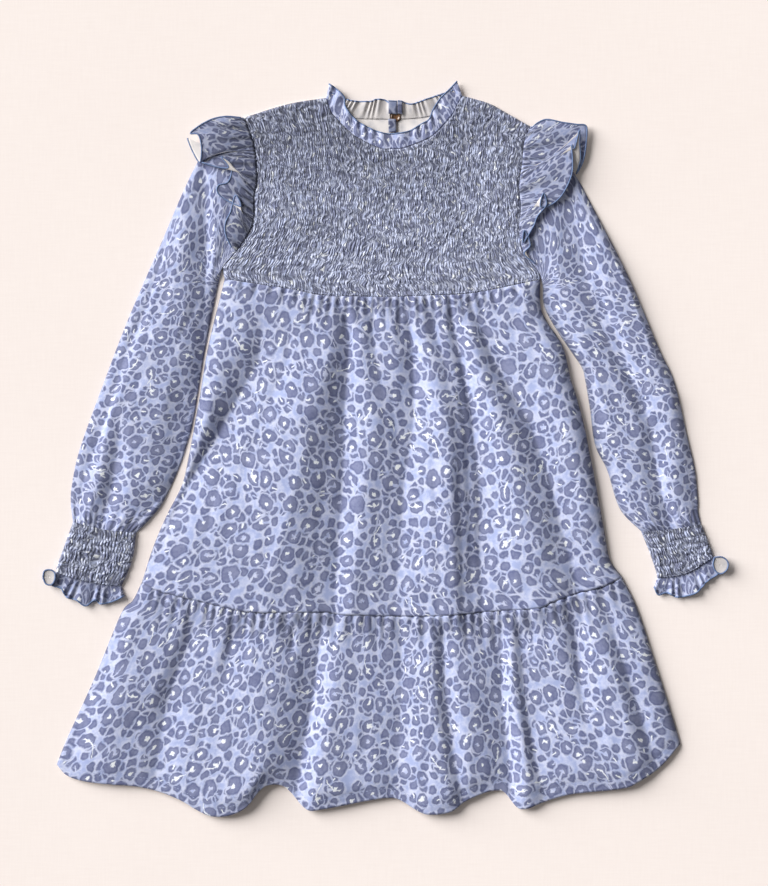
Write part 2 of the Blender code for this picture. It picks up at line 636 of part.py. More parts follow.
def sleeve(side, armhole, outer, inner, cuff_top, materials, collection):
    """A full sleeve, from the armhole's points to the cuff seam, higher in its middle."""
    across = np.linspace(0.0, 1.0, ARMHOLE_POINTS)
    plan = sleeve_plan(armhole, outer, inner, cuff_top, across, 5, 8)
    plan = pulled_in(plan, SEAM_GAP / 2, sides=False)
    down = np.linspace(0.0, 1.0, len(plan))
    full = ramp(np.minimum(across, 1 - across), 0.0, 0.35)[None]
    along = ramp(down, 0.35, 0.55)[:, None] * (1 - 0.6 * ramp(down, 0.9, 1.0)[:, None])
    turns = SLEEVE_FOLDS_ACROSS * across[None] + SLEEVE_FOLDS_DOWN * down[:, None]
    folds = SLEEVE_FOLD_HEIGHT * np.sin(2 * np.pi * turns)
    head = SLEEVE_HEAD_TOP - TUBE_EDGE_TOP
    top = TUBE_EDGE_TOP + full * (head + along * (SLEEVE_TOP - SLEEVE_HEAD_TOP + folds))
    return tube("sleeve_" + side, plan, top - CLOTH, top, materials["printed"], collection)


def cuff(side, top_edge, end_edge, outer, inner, materials, collection):
    """A smocked cuff: ribs on the upper side of a flattened tube, over a plain inside."""
    across = np.linspace(0.0, 1.0, 2 * CUFF_RIBS + 1)
    down = np.linspace(0.0, 1.0, 4)
    sides = (by_length(outer, down), by_length(inner, down))
    plan = patch(by_length(top_edge, across), by_length(end_edge, across), *sides, across, down)
    plan = pulled_in(plan, SEAM_GAP / 2, sides=False)
    full = ramp(np.minimum(across, 1 - across), 0.0, 0.12)[None] * np.ones((len(down), 1))
    plain = TUBE_EDGE_TOP + (CUFF_TOP - TUBE_EDGE_TOP) * full
    ribs = (np.arange(len(across)) % 2) * CUFF_RIB_HEIGHT
    ribbed = plain + ribs[None] * full
    return tube("cuff_" + side, plan, plain - CLOTH, ribbed, materials["smocked"], collection)


def cuff_frill(side, start_edge, free_edge, materials, collection):
    """The frill below a cuff: a short flattened tube whose upper side stands in waves."""
    across = np.linspace(0.0, 1.0, 3 * CUFF_FRILL_WAVES + 1)
    down = np.linspace(0.0, 1.0, 4)
    start = by_length(start_edge, across)
    free = by_length(free_edge, across)
    left = start[0] + (free[0] - start[0]) * down[:, None]
    right = start[-1] + (free[-1] - start[-1]) * down[:, None]
    plan = pulled_in(patch(start, free, left, right, across, down), SEAM_GAP / 2, sides=False)
    full = ramp(np.minimum(across, 1 - across), 0.0, 0.12)[None]
    waves = gathers(across, CUFF_FRILL_WAVES)[None] * ramp(down, 0.0, 0.8)[:, None] * CUFF_FRILL_HEIGHT
    top = TUBE_EDGE_TOP + full * waves
    return tube("cuff_frill_" + side, plan, top - CLOTH, top, materials["printed"], collection)


def frill_strip(name, seam, edge, waves, columns_a_wave, level, material, collection, flat_end=None):
    """A gathered strip from its seam line to its free edge, with waves that grow to the edge."""
    across = np.linspace(0.0, 1.0, columns_a_wave * waves + 1)
    down = np.linspace(0.0, 1.0, 3)
    start = by_length(seam, across)
    free = by_length(edge, across)
    left = start[0] + (free[0] - start[0]) * down[:, None]
    right = start[-1] + (free[-1] - start[-1]) * down[:, None]
    plan = pulled_in(patch(start, free, left, right, across, down), SEAM_GAP / 2)
    height = gathers(across, waves)[None] * ramp(down, -0.1, 0.9)[:, None] * NECK_WAVE_HEIGHT
    if flat_end is not None:
        height = height * flat_end(plan[..., 0])
    return sheet(name, plan, level + height, material, collection)


def neck_frill(materials, collection):
    """The stand frill in its three stretches: the front, and the back on each side of the slit."""
    frill_strip(
        "neck_frill_front", NECK_FRONT, NECK_FRILL_EDGE, NECK_WAVES, 3, FRONT_LEVEL,
        materials["printed"], collection,
    )
    frill_strip(
        "neck_frill_back_left", NECK_BACK_LEFT[:-1] + (BACK_FRILL_LEFT_END,), BACK_FRILL_LEFT_EDGE,
        BACK_NECK_WAVES, 4, 0.0, materials["wrong_side"], collection,
        lambda x: ramp(x, -34.0, -26.0) * (1 - ramp(x, -4.0, 2.0)),
    )
    frill_strip(
        "neck_frill_back_right", (BACK_FRILL_RIGHT_START,) + NECK_BACK_RIGHT[1:], BACK_FRILL_RIGHT_EDGE,
        BACK_NECK_WAVES, 4, 0.0, materials["wrong_side"], collection,
        lambda x: ramp(x, 17.0, 22.0) * (1 - ramp(x, 34.0, 40.0)),
    )


def frill_ends(materials, collection):
    """The two ends of the back frill, folded over at the opening so that the print shows."""
    button_top = max(height for _, height in BUTTON_PROFILE)
    level = button_top + FRILL_END_CLEARANCE
    for side, outline in (("left", FRILL_END_LEFT), ("right", FRILL_END_RIGHT)):
        points = np.array(outline)
        flat_panel("neck_frill_end_" + side, points, level, materials["printed"], collection)


def keyhole_binding(materials, collection):
    """The strip of print that binds the slit, seen beside it, lifted over the button at its top."""
    across = np.linspace(0.0, 1.0, 4)
    down = np.linspace(0.0, 1.0, 7)
    top = np.linspace(BINDING_TOP[0], BINDING_TOP[1], len(across))
    bottom = np.linspace(BINDING_BOTTOM[0], BINDING_BOTTOM[1], len(across))
    left = top[0] + (bottom[0] - top[0]) * down[:, None]
    right = top[-1] + (bottom[-1] - top[-1]) * down[:, None]
    plan = patch(top, bottom, left, right, across, down)
    over_button = BINDING_RISE * (1 - ramp(down, 0.3, 0.9))
    height = FRONT_LEVEL + over_button[:, None] * np.ones(len(across))
    return sheet("keyhole_binding", plan, height, materials["printed"], collection)


def back_button(materials, collection):
    """A small round button, turned about its own axis, in the notch at the top of the slit."""
    mesh = bpy.data.meshes.new("back_button")
    points = [(radius * MM, 0.0, height * MM) for radius, height in BUTTON_PROFILE]
    edges = [(place, place + 1) for place in range(len(points) - 1)]
    mesh.from_pydata(points, edges, [])
    mesh.materials.append(materials["button"])
    obj = bpy.data.objects.new("back_button", mesh)
    place = np.subtract(BUTTON_CENTRE, OUTLINE_CENTRE) * MM
    obj.location = (place[0], place[1], 0.0)
    collection.objects.link(obj)
    screw = obj.modifiers.new("turned", "SCREW")
    screw.steps = 24
    screw.render_steps = 24
    screw.use_merge_vertices = True
    screw.merge_threshold = 0.00001
    screw.use_smooth_shade = True
    return obj


def ruffle(side, armhole, reach, shoulder, edge, materials, collection):
    """A shoulder ruffle, sewn along the armhole and lying over the sleeve's head in waves."""
    across = np.linspace(0.0, 1.0, 6 * RUFFLE_WAVES + 1)
    down = np.linspace(0.0, 1.0, 5)
    seam = by_length(armhole, across * reach)
    free = by_length(edge, across)
    start = by_length(shoulder, down)
    stop = seam[-1] + (free[-1] - seam[-1]) * down[:, None]
    start = start + (seam[0] - start[0]) * (1 - down[:, None])
    plan = pulled_in(patch(seam, free, start, stop, across, down), SEAM_GAP / 2, sides=False)
    waves = gathers(across, RUFFLE_WAVES)[None] * ramp(down, -0.1, 0.8)[:, None]
    width = np.linalg.norm(free - seam, axis=1)[None]
    height = waves * RUFFLE_WAVE_HEIGHT * np.clip(width / 30.0, 0.45, 1.0)
    level = SLEEVE_HEAD_TOP + LAYER_GAP
    return sheet("shoulder_ruffle_" + side, plan, level + height, materials["printed"], collection)


def build():
    collection = cleared_scene()
    materials = {name: material_for(name, colour, 0.85) for name, colour in COLOURS.items()}
    materials["button"].node_tree.nodes["Principled BSDF"].inputs["Roughness"].default_value = 0.3
    bodice_front(materials, collection)
    bodice_back(materials, collection)
    skirt_front(materials, collection)
    skirt_back(materials, collection)
    tier_front(materials, collection)
    tier_back(materials, collection)
    sleeve("left", ARMHOLE_LEFT, SLEEVE_LEFT_OUTER, SLEEVE_LEFT_INNER, CUFF_LEFT_TOP, materials, collection)
    sleeve(
        "right", ARMHOLE_RIGHT, SLEEVE_RIGHT_OUTER, SLEEVE_RIGHT_INNER, CUFF_RIGHT_TOP, materials, collection
    )
    cuff("left", CUFF_LEFT_TOP, CUFF_LEFT_END, *CUFF_LEFT_SIDES, materials, collection)
    cuff("right", CUFF_RIGHT_TOP, CUFF_RIGHT_END, *CUFF_RIGHT_SIDES, materials, collection)
    cuff_frill("left", CUFF_LEFT_END, CUFF_FRILL_LEFT_EDGE, materials, collection)
    cuff_frill("right", CUFF_RIGHT_END, CUFF_FRILL_RIGHT_EDGE, materials, collection)
    ruffle(
        "left", ARMHOLE_LEFT, RUFFLE_LEFT_REACH, RUFFLE_LEFT_SHOULDER, RUFFLE_LEFT_EDGE, materials, collection
    )
    ruffle(
        "right", ARMHOLE_RIGHT, RUFFLE_RIGHT_REACH, RUFFLE_RIGHT_SHOULDER, RUFFLE_RIGHT_EDGE, materials,
        collection,
    )
    neck_frill(materials, collection)
    frill_ends(materials, collection)
    keyhole_binding(materials, collection)
    back_button(materials, collection)


build()
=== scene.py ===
"""Looks of the smocked dress, laid flat and seen from straight above.

Sizes and tables are in millimetres on the surface that the dress lies on, as in the CAD, with +Y
towards the neck. Every piece of cloth is a thin shell in the space of its CAD solid, with its
creases given in tables, and its print comes from the flat cloth's own coordinates.
"""

import bpy
import numpy as np
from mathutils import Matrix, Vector


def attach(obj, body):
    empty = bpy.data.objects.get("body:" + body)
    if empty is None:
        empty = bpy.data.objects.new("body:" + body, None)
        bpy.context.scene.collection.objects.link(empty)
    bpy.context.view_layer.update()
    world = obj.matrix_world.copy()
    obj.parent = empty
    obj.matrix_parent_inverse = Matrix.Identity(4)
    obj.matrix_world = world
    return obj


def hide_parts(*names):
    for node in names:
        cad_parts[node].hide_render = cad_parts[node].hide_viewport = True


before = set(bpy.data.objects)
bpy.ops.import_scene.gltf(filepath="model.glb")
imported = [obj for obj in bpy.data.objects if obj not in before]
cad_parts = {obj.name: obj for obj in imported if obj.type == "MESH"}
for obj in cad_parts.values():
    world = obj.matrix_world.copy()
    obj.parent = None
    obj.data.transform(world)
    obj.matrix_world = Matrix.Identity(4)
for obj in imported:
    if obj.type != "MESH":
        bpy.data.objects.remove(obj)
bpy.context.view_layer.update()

MM = 0.001
TURN = 6.2832  # radians in a full turn, for the materials
OUTLINE_CENTRE = (0.302, 0.056)
WALL = 0.5  # cloth thickness
BACK_TOP = 0.8  # upper side of the back panels
RIM_TOP = 1.5  # upper side of a front panel at its edges

BODICE_RIBS = 118
COLUMNS_A_RIB = 6
BODICE_ROWS = 112
BODICE_TOP = 3.2
SKIRT_COLUMNS = 231
SKIRT_ROWS = 150
TIER_COLUMNS = 321
TIER_ROWS = 96
SKIRT_CLOTH_TOP = 340.0  # widths of the print's cloth on the skirt and the tier
SKIRT_CLOTH_LOW = 452.0
TIER_CLOTH = 640.0
SKIRT_LENGTH = 270.0
RIB_HEIGHT = 1.4
SHIRRING_SPACING = 5.2
CLOTH_A_RIB = 6.4  # how much cloth a rib takes up

FOLD_DEPTH = 1.3  # how much higher the broad folds are than their tables
SKIRT_FOLD_DEPTH = 1.6
CREASE_DEPTH = 1.8  # how much higher the short creases are than their tables
BACK_INSET = 1.0  # how far a back panel stays inside the front one
RIM_REACH = 15.0  # how far a front panel rounds down towards its side edges

CUFF_RIBS = 22
CUFF_COLUMNS_A_RIB = 7
CUFF_LENGTH = 46.0
CUFF_SHIRRING = 6.2
CUFF_CLOTH = 150.0  # width of a cuff's cloth in the print
CUFF_FRILL_CLOTH = 130.0
SLEEVE_CLOTH = 1.16  # how much wider the print lies on a sleeve than its form
SLEEVE_TOP = 7.6
HEM_DEPTH = 9.2
TUBE_BOTTOM = 0.5  # upper side of a sleeve or cuff at its edges
RUFFLE_LOW = 3.9
RUFFLE_GATHERS = 17
EDGE_RADIUS = 0.7

PX = 0.92  # millimetres a pixel of the photograph
PHOTO_WIDTH = 768.0
PHOTO_HEIGHT = 886.0
ORIGIN_X = 385.0  # the place in the photograph where the plan's axes meet
ORIGIN_Y = 449.0

# The print: cells a metre of the rosettes and of the small spots, and sizes in parts of a cell.
ROSETTE_SCALE = 46.0
ROSETTE_RANDOMNESS = 0.8
ROSETTE_RADIUS = 0.27
ROSETTE_SPREAD = 0.12
SPOT_SCALE = 98.0
SPOT_RANDOMNESS = 0.88
SPOT_RADIUS = 0.42
SPOT_SPREAD = 0.16
RING_SHARE = 0.90  # chance above which a rosette stays plain
OPEN_SHARE = 0.55  # chance above which a ring stays closed
PAIR_SHARE = 0.74  # chance above which a rosette is a pair of beans
FLECK_SHARE = 0.36  # chance above which a rosette has a white fleck
SLOT_SHARE = 0.62  # chance above which a small spot has a slot
WHITE_SHARE = 0.45  # chance above which that slot is white
WHITE = (0.88, 0.91, 0.95)
WEAVE_PITCH = 0.00045
WEAVE_STRENGTH = 0.35
BUMP_DEPTH = 0.0001


def at_pixel(x, y):
    """A plan point from a place in the photograph."""
    return ((x - ORIGIN_X) * PX, (ORIGIN_Y - y) * PX)


SLIT_X = 11.4
SLIT_END_Y = 232.0
BUTTON_CENTRE = (9.8, 305.4)
UNDERARM_OUTER = 0.43  # where the line across the underarm meets each edge of the sleeve
UNDERARM_INNER = 0.065
UNDERARM_SPREAD = 0.75

# Seam lines and outlines: x, y in each row.
WAIST = (
    (-147.5, 156.2), (-118.7, 151.8), (-82.8, 146.3), (-61.6, 141.7), (-32.2, 140.3), (-0.9, 139.8),
    (32.2, 140.8), (74.5, 142.6), (103.0, 147.2), (124.2, 151.8), (142.8, 155.5),
)
SHOULDER_LEFT = ((-130.6, 304.5), (-90.0, 317.0), (-54.0, 323.0))
SHOULDER_RIGHT = ((71.0, 325.0), (95.0, 318.0), (110.0, 310.0), (134.3, 296.2))
NECK_FRONT = (
    (-54.0, 323.0), (-50.3, 311.5), (-41.9, 301.2), (-33.4, 292.7), (-24.0, 285.7), (-4.3, 276.6),
    (7.0, 276.0), (18.2, 277.2), (38.6, 285.2), (48.2, 292.3), (61.4, 306.8), (66.0, 316.0), (71.0, 325.0),
)
NECK_BACK_LEFT = ((-54.0, 323.0), (-40.0, 308.0), (-28.0, 304.0), (5.6, 303.0))
NECK_BACK_RIGHT = ((14.0, 303.0), (39.0, 305.5), (55.0, 312.0), (71.0, 325.0))
ARMHOLE_LEFT = (
    (-130.6, 304.5), (-121.4, 278.8), (-118.7, 250.2), (-121.4, 231.8), (-122.4, 207.9),
    (-133.4, 187.7), (-149.5, 167.0),
)
ARMHOLE_RIGHT = (
    (134.3, 296.2), (128.8, 281.5), (127.0, 264.0), (124.2, 242.0), (125.7, 221.7), (124.2, 200.6),
    (128.5, 180.0), (141.5, 163.0),
)
SKIRT_LEFT = (
    (-147.5, 156.2), (-152.7, 135.2), (-159.2, 109.5), (-165.1, 81.9), (-169.7, 52.4), (-174.3, 27.6),
    (-180.3, -5.5), (-186.8, -33.1), (-200.6, -60.7), (-212.5, -88.3), (-223.6, -122.4),
)
SKIRT_RIGHT = (
    (142.8, 155.5), (143.2, 131.0), (149.0, 116.8), (157.3, 104.9), (164.7, 91.1), (171.1, 63.5),
    (175.7, 49.7), (183.1, 22.1), (188.6, -5.5), (194.1, -33.1), (202.4, -79.1), (207.0, -102.1),
    (218.0, -117.8),
)
TIER_SEAM = (
    (-223.6, -122.4), (-207.0, -130.6), (-185.8, -136.2), (-170.2, -139.8), (-143.5, -146.3),
    (-117.8, -150.0), (-57.0, -150.0), (-34.0, -152.3), (40.5, -153.6), (99.4, -149.0),
    (138.9, -146.3), (154.6, -140.3), (179.4, -132.0), (202.4, -125.6), (218.0, -117.8),
)
TIER_LEFT = (
    (-223.6, -122.4), (-231.8, -138.9), (-242.9, -151.8), (-266.8, -209.8), (-292.6, -266.8),
    (-301.8, -290.0),
)
TIER_RIGHT = (
    (218.0, -117.8), (229.1, -139.8), (237.4, -161.9), (248.4, -196.0), (257.6, -224.5),
    (265.9, -251.2), (271.6, -271.0),
)
HEM = (
    (-301.8, -290.0), (-292.6, -299.9), (-276.0, -305.4), (-251.2, -308.2), (-229.1, -310.0),
    (-207.0, -315.1), (-187.7, -322.9), (-172.0, -332.1), (-159.2, -337.4), (-143.5, -336.7),
    (-127.9, -329.4), (-115.9, -314.6), (-107.6, -308.8), (-95.7, -308.8), (-87.4, -314.6),
    (-72.7, -330.7), (-58.9, -331.2), (-14.7, -322.9), (2.8, -320.7), (13.8, -322.5),
    (33.1, -334.0), (46.0, -335.8), (61.6, -332.7), (73.6, -323.8), (91.1, -316.0),
    (103.0, -313.7), (110.4, -316.0), (121.4, -329.4), (131.1, -330.3), (142.6, -325.7),
    (170.2, -317.4), (218.0, -311.9), (233.7, -305.4), (253.0, -292.2), (271.6, -271.0),
)
SLEEVE_LEFT_OUTER = (
    (-130.6, 304.5), (-156.4, 289.0), (-170.2, 268.0), (-186.0, 236.0), (-203.0, 196.0),
    (-236.0, 120.0), (-262.0, 52.0), (-281.0, -1.0), (-288.0, -33.0), (-289.0, -50.0), (-287.0, -67.0),
)
SLEEVE_LEFT_INNER = (
    (-149.5, 167.0), (-153.5, 150.0), (-158.8, 125.0), (-166.8, 84.0), (-175.8, 28.5),
    (-182.2, 4.0), (-190.0, -19.0), (-203.0, -47.0), (-213.0, -61.0), (-228.5, -77.0),
)
SLEEVE_RIGHT_OUTER = (
    (134.3, 296.2), (156.0, 276.0), (175.4, 251.2), (187.7, 229.1), (223.6, 159.2), (252.1, 92.3),
    (266.3, 61.3), (278.8, 8.3), (285.2, -19.3), (288.0, -46.9), (288.0, -57.0), (290.7, -69.0),
)
SLEEVE_RIGHT_INNER = (
    (141.5, 163.0), (144.8, 150.0), (145.6, 134.0), (151.5, 120.0), (162.0, 103.0), (172.0, 88.3),
    (181.2, 74.5), (184.0, 63.5), (188.6, 35.9), (193.2, 3.7), (204.2, -19.3), (212.5, -46.9),
    (219.9, -60.7), (235.3, -75.4),
)
CUFF_LEFT_TOP = ((-287.0, -67.0), (-258.0, -74.0), (-228.5, -77.0))
CUFF_LEFT_SIDES = (
    ((-287.0, -67.0), (-295.0, -89.2), (-300.8, -104.9), (-303.0, -113.2)),
    ((-228.5, -77.0), (-232.8, -103.0), (-242.1, -126.0)),
)
CUFF_LEFT_END = ((-303.0, -113.2), (-273.0, -122.0), (-242.1, -126.0))
CUFF_RIGHT_TOP = ((290.7, -69.0), (262.0, -74.0), (235.3, -75.4))
CUFF_RIGHT_SIDES = (
    ((290.7, -69.0), (297.2, -84.6), (302.0, -98.9)),
    ((235.3, -75.4), (242.9, -94.2), (249.3, -113.0), (250.2, -118.7)),
)
CUFF_RIGHT_END = ((302.0, -98.9), (277.0, -114.0), (250.2, -118.7))
CUFF_FRILL_LEFT_EDGE = (
    (-314.6, -119.0), (-305.4, -125.6), (-297.7, -127.9), (-292.6, -136.0), (-284.0, -138.5),
    (-275.1, -144.1), (-266.8, -138.5), (-260.9, -142.3), (-249.0, -139.5), (-239.8, -134.8),
)
CUFF_FRILL_RIGHT_EDGE = (
    (315.2, -108.5), (304.0, -116.5), (296.2, -121.4), (287.0, -131.4), (277.8, -134.8), (268.0, -136.0),
    (259.0, -132.0), (251.2, -134.0), (247.5, -127.0),
)
NECK_FRILL_EDGE = (
    (-51.5, 335.5), (-45.0, 331.2), (-37.7, 323.8), (-36.8, 315.6), (-32.2, 308.2), (-26.7, 302.2),
    (-19.3, 297.6), (-9.2, 292.6), (1.8, 289.8), (13.8, 290.3), (23.9, 293.0), (33.0, 298.5),
    (40.5, 303.1), (44.2, 311.9), (50.6, 322.0), (58.0, 329.4), (66.2, 338.0),
)
BACK_FRILL_LEFT_EDGE = (
    (-48.0, 327.0), (-31.6, 320.4), (-13.8, 319.5), (-8.3, 321.4), (-0.6, 321.0), (4.2, 318.0),
)
BACK_FRILL_RIGHT_EDGE = (
    (15.4, 319.5), (23.0, 317.0), (29.4, 318.4), (37.0, 321.2), (48.2, 325.0), (62.0, 329.5),
)


def smooth_curve(points, steps=16):
    """A close row of points on a smooth curve through the points of a table."""
    points = np.array(points, dtype=float)
    ends = np.vstack([2 * points[0] - points[1], points, 2 * points[-1] - points[-2]])
    t = np.linspace(0.0, 1.0, steps, endpoint=False)[:, None]
    spans = []
    for before, start, stop, after in zip(ends[:-3], ends[1:-2], ends[2:-1], ends[3:], strict=True):
        slope_start = (stop - before) / 2
        slope_stop = (after - start) / 2
        spans.append(
            (2 * t**3 - 3 * t**2 + 1) * start
            + (t**3 - 2 * t**2 + t) * slope_start
            + (3 * t**2 - 2 * t**3) * stop
            + (t**3 - t**2) * slope_stop
        )
    return np.vstack([*spans, points[-1:]])


def along_line(line, places):
    """Plan points at these fractions of a line's length."""
    steps = np.hypot(*np.diff(line, axis=0).T)
    reach = np.concatenate([[0.0], np.cumsum(steps)]) / steps.sum()
    return np.column_stack([np.interp(places, reach, line[:, axis]) for axis in (0, 1)])


def by_length(points, places):
    """Points of the smooth curve at these fractions of its length."""
    return along_line(smooth_curve(points), places)


def by_x(points, places):
    """Points of the smooth curve at these fractions of its width."""
    curve = smooth_curve(points)
    x = curve[0, 0] + np.asarray(places) * (curve[-1, 0] - curve[0, 0])
    order = np.argsort(curve[:, 0])
    return np.column_stack([x, np.interp(x, curve[order, 0], curve[order, 1])])


def distances(path):
    """The distance along a path at each of its points."""
    return np.concatenate([[0.0], np.cumsum(np.linalg.norm(np.diff(path, axis=0), axis=1))])


def patch(top, bottom, left, right, across, down):
    """A grid of plan points between four edges. Row 0 is the top edge and column 0 the left."""
    u = np.asarray(across)[None, :, None]
    v = np.asarray(down)[:, None, None]
    between_rows = (1 - v) * top[None] + v * bottom[None]
    between_sides = (1 - u) * left[:, None] + u * right[:, None]
    corners = (1 - v) * ((1 - u) * top[0] + u * top[-1]) + v * ((1 - u) * bottom[0] + u * bottom[-1])
    return between_rows + between_sides - corners


def ruled(start, free, across, down):
    """A patch from a seam to a free edge, with straight ends."""
    left = start[0] + (free[0] - start[0]) * down[:, None]
    right = start[-1] + (free[-1] - start[-1]) * down[:, None]
    return patch(start, free, left, right, across, down)


def tube_edges(plan, across):
    """How far each point is from the nearer edge of its row, and the width of each row."""
    width = np.linalg.norm(plan[:, -1] - plan[:, 0], axis=1)
    return np.minimum(across, 1 - across)[None] * width[:, None], width


def ramp(value, start, stop):
    """0 before start and 1 after stop, smooth between them."""
    t = np.clip((value - start) / (stop - start), 0.0, 1.0)
    return t * t * (3 - 2 * t)


def gathers(across, waves, unevenness=0.3):
    """Waves from 0 to 1 across a gathered edge, a little uneven."""
    turn = waves * across + unevenness * np.sin(2 * np.pi * 2.7 * across + 0.6)
    return 0.5 - 0.5 * np.cos(2 * np.pi * turn)


# Broad folds, from left to right: a row is a crest or a valley line, as places in the photograph
# with the height of the cloth there in millimetres.
SKIRT_LINES = (
    (
        (240, 300, 3.0), (236, 345, 4.5), (222, 365, 5.0), (203, 420, 5.5), (180, 480, 5.0),
        (160, 530, 4.0), (140, 600, 4.0),
    ),
    (
        (262, 320, 2.8), (259, 360, 1.2), (226, 420, 0.6), (190, 480, 0.8), (165, 530, 2.6),
        (150, 573, 4.0),
    ),
    (
        (290, 320, 3.2), (288, 360, 3.6), (262, 420, 4.2), (240, 480, 5.0), (225, 540, 5.6),
        (215, 600, 5.2),
    ),
    (
        (322, 300, 3.4), (330, 330, 4.4), (327, 360, 6.0), (304, 420, 7.4), (296, 480, 7.8),
        (284, 540, 8.0), (280, 600, 6.2),
    ),
    (
        (340, 300, 2.2), (350, 335, 1.6), (348, 360, 1.2), (344, 420, 1.6), (343, 480, 1.8),
        (339, 540, 2.1), (335, 600, 2.6),
    ),
    (
        (354, 300, 3.4), (360, 330, 4.0), (362, 360, 4.6), (374, 420, 5.6), (367, 480, 5.6),
        (360, 540, 5.2), (352, 600, 4.6),
    ),
    (
        (366, 300, 2.4), (372, 325, 2.4), (376, 360, 3.0), (384, 400, 4.4), (386, 440, 4.4),
        (378, 540, 3.8), (370, 600, 3.6),
    ),
    (
        (380, 300, 3.2), (394, 330, 3.8), (396, 360, 4.2), (392, 400, 3.8), (398, 440, 3.0),
        (388, 540, 2.9), (384, 600, 3.0),
    ),
    (
        (404, 300, 2.0), (410, 330, 1.6), (413, 360, 1.4), (414, 420, 1.8), (405, 480, 1.8),
        (400, 540, 2.1), (395, 600, 2.6),
    ),
    (
        (414, 300, 3.3), (424, 330, 4.2), (431, 360, 4.9), (446, 420, 6.6), (450, 480, 7.2),
        (452, 540, 7.4), (455, 600, 6.0),
    ),
    (
        (428, 300, 2.2), (434, 330, 2.6), (443, 360, 3.6), (454, 400, 4.6), (459, 440, 4.6),
        (462, 540, 4.8), (464, 600, 4.2),
    ),
    (
        (440, 300, 3.2), (446, 330, 3.4), (449, 360, 3.8), (461, 400, 3.2), (467, 440, 2.6),
        (471, 540, 3.0), (473, 600, 3.2),
    ),
    (
        (449, 300, 2.0), (455, 330, 1.6), (461, 360, 1.2), (472, 420, 1.0), (479, 480, 1.2),
        (479, 540, 1.6), (482, 600, 2.4),
    ),
    (
        (458, 300, 3.2), (470, 330, 4.2), (477, 360, 5.2), (499, 420, 6.8), (518, 480, 7.4),
        (532, 540, 7.6), (545, 600, 6.0),
    ),
    (
        (468, 300, 2.2), (482, 330, 1.8), (493, 360, 1.4), (528, 420, 1.4), (550, 480, 2.0),
        (564, 540, 2.6), (582, 600, 2.6),
    ),
    (
        (510, 290, 3.4), (545, 330, 5.0), (556, 360, 5.8), (570, 420, 6.4), (580, 480, 5.6),
        (590, 540, 4.2), (600, 600, 3.6),
    ),
)
TIER_LINES = (
    ((118, 600, 2.5), (108, 640, 2.5), (90, 690, 2.6), (75, 740, 2.6), (66, 780, 2.4)),
    ((135, 600, 4.0), (128, 640, 5.2), (121, 680, 6.0), (115, 720, 6.4), (112, 780, 5.5)),
    ((184, 612, 3.8), (176, 640, 4.6), (152, 690, 4.8), (138, 720, 4.4), (136, 780, 4.0)),
    (
        (196, 612, 2.0), (190, 640, 1.6), (178, 670, 1.4), (168, 700, 1.4), (160, 740, 1.8),
        (155, 785, 2.2),
    ),
    (
        (226, 612, 3.8), (222, 640, 4.4), (214, 665, 4.4), (204, 700, 4.2), (200, 740, 4.6),
        (198, 790, 5.0),
    ),
    (
        (237, 612, 2.2), (233, 640, 2.4), (227, 665, 3.2), (222, 700, 5.0), (222, 740, 6.0),
        (220, 800, 6.4),
    ),
    ((270, 612, 4.6), (270, 640, 6.4), (268, 700, 7.6), (262, 750, 8.4), (256, 795, 8.6)),
    ((322, 612, 1.4), (320, 640, 1.0), (313, 700, 0.8), (303, 750, 0.8), (297, 785, 1.0)),
    ((334, 612, 3.8), (338, 640, 5.0), (336, 700, 6.2), (324, 750, 6.6), (318, 800, 6.8)),
    ((370, 612, 3.4), (366, 640, 4.0), (368, 700, 4.8), (366, 750, 5.0), (362, 800, 5.0)),
    ((402, 612, 1.8), (402, 640, 1.8), (401, 700, 2.6), (399, 750, 3.2), (397, 795, 3.6)),
    ((428, 612, 4.2), (432, 640, 5.2), (433, 700, 6.6), (441, 750, 7.4), (448, 800, 7.6)),
    ((440, 612, 2.0), (442, 640, 2.2), (446, 700, 3.6), (453, 750, 4.4), (462, 800, 4.6)),
    ((455, 612, 3.6), (458, 660, 5.0), (462, 700, 6.0), (467, 750, 6.4), (472, 800, 6.2)),
    ((500, 612, 1.8), (501, 640, 1.2), (502, 700, 0.9), (508, 750, 1.0), (510, 785, 1.2)),
    ((511, 612, 3.6), (513, 680, 5.0), (517, 710, 5.4), (522, 740, 6.0), (529, 795, 6.2)),
    ((520, 612, 2.0), (523, 680, 2.4), (528, 720, 2.6), (535, 760, 2.8), (542, 790, 3.2)),
    ((555, 610, 4.2), (560, 640, 5.2), (566, 670, 5.2), (572, 720, 5.0), (580, 780, 5.4)),
    ((571, 608, 2.0), (577, 640, 2.4), (582, 680, 4.2), (592, 730, 5.6), (600, 780, 5.8)),
    ((588, 603, 3.8), (600, 640, 6.0), (614, 680, 7.2), (628, 735, 7.6), (638, 775, 6.6)),
    ((604, 600, 2.6), (616, 640, 3.0), (632, 690, 3.6), (648, 740, 3.6), (658, 770, 3.0)),
    ((618, 598, 3.4), (630, 640, 4.2), (645, 690, 4.6), (660, 740, 4.4), (670, 765, 3.6)),
)
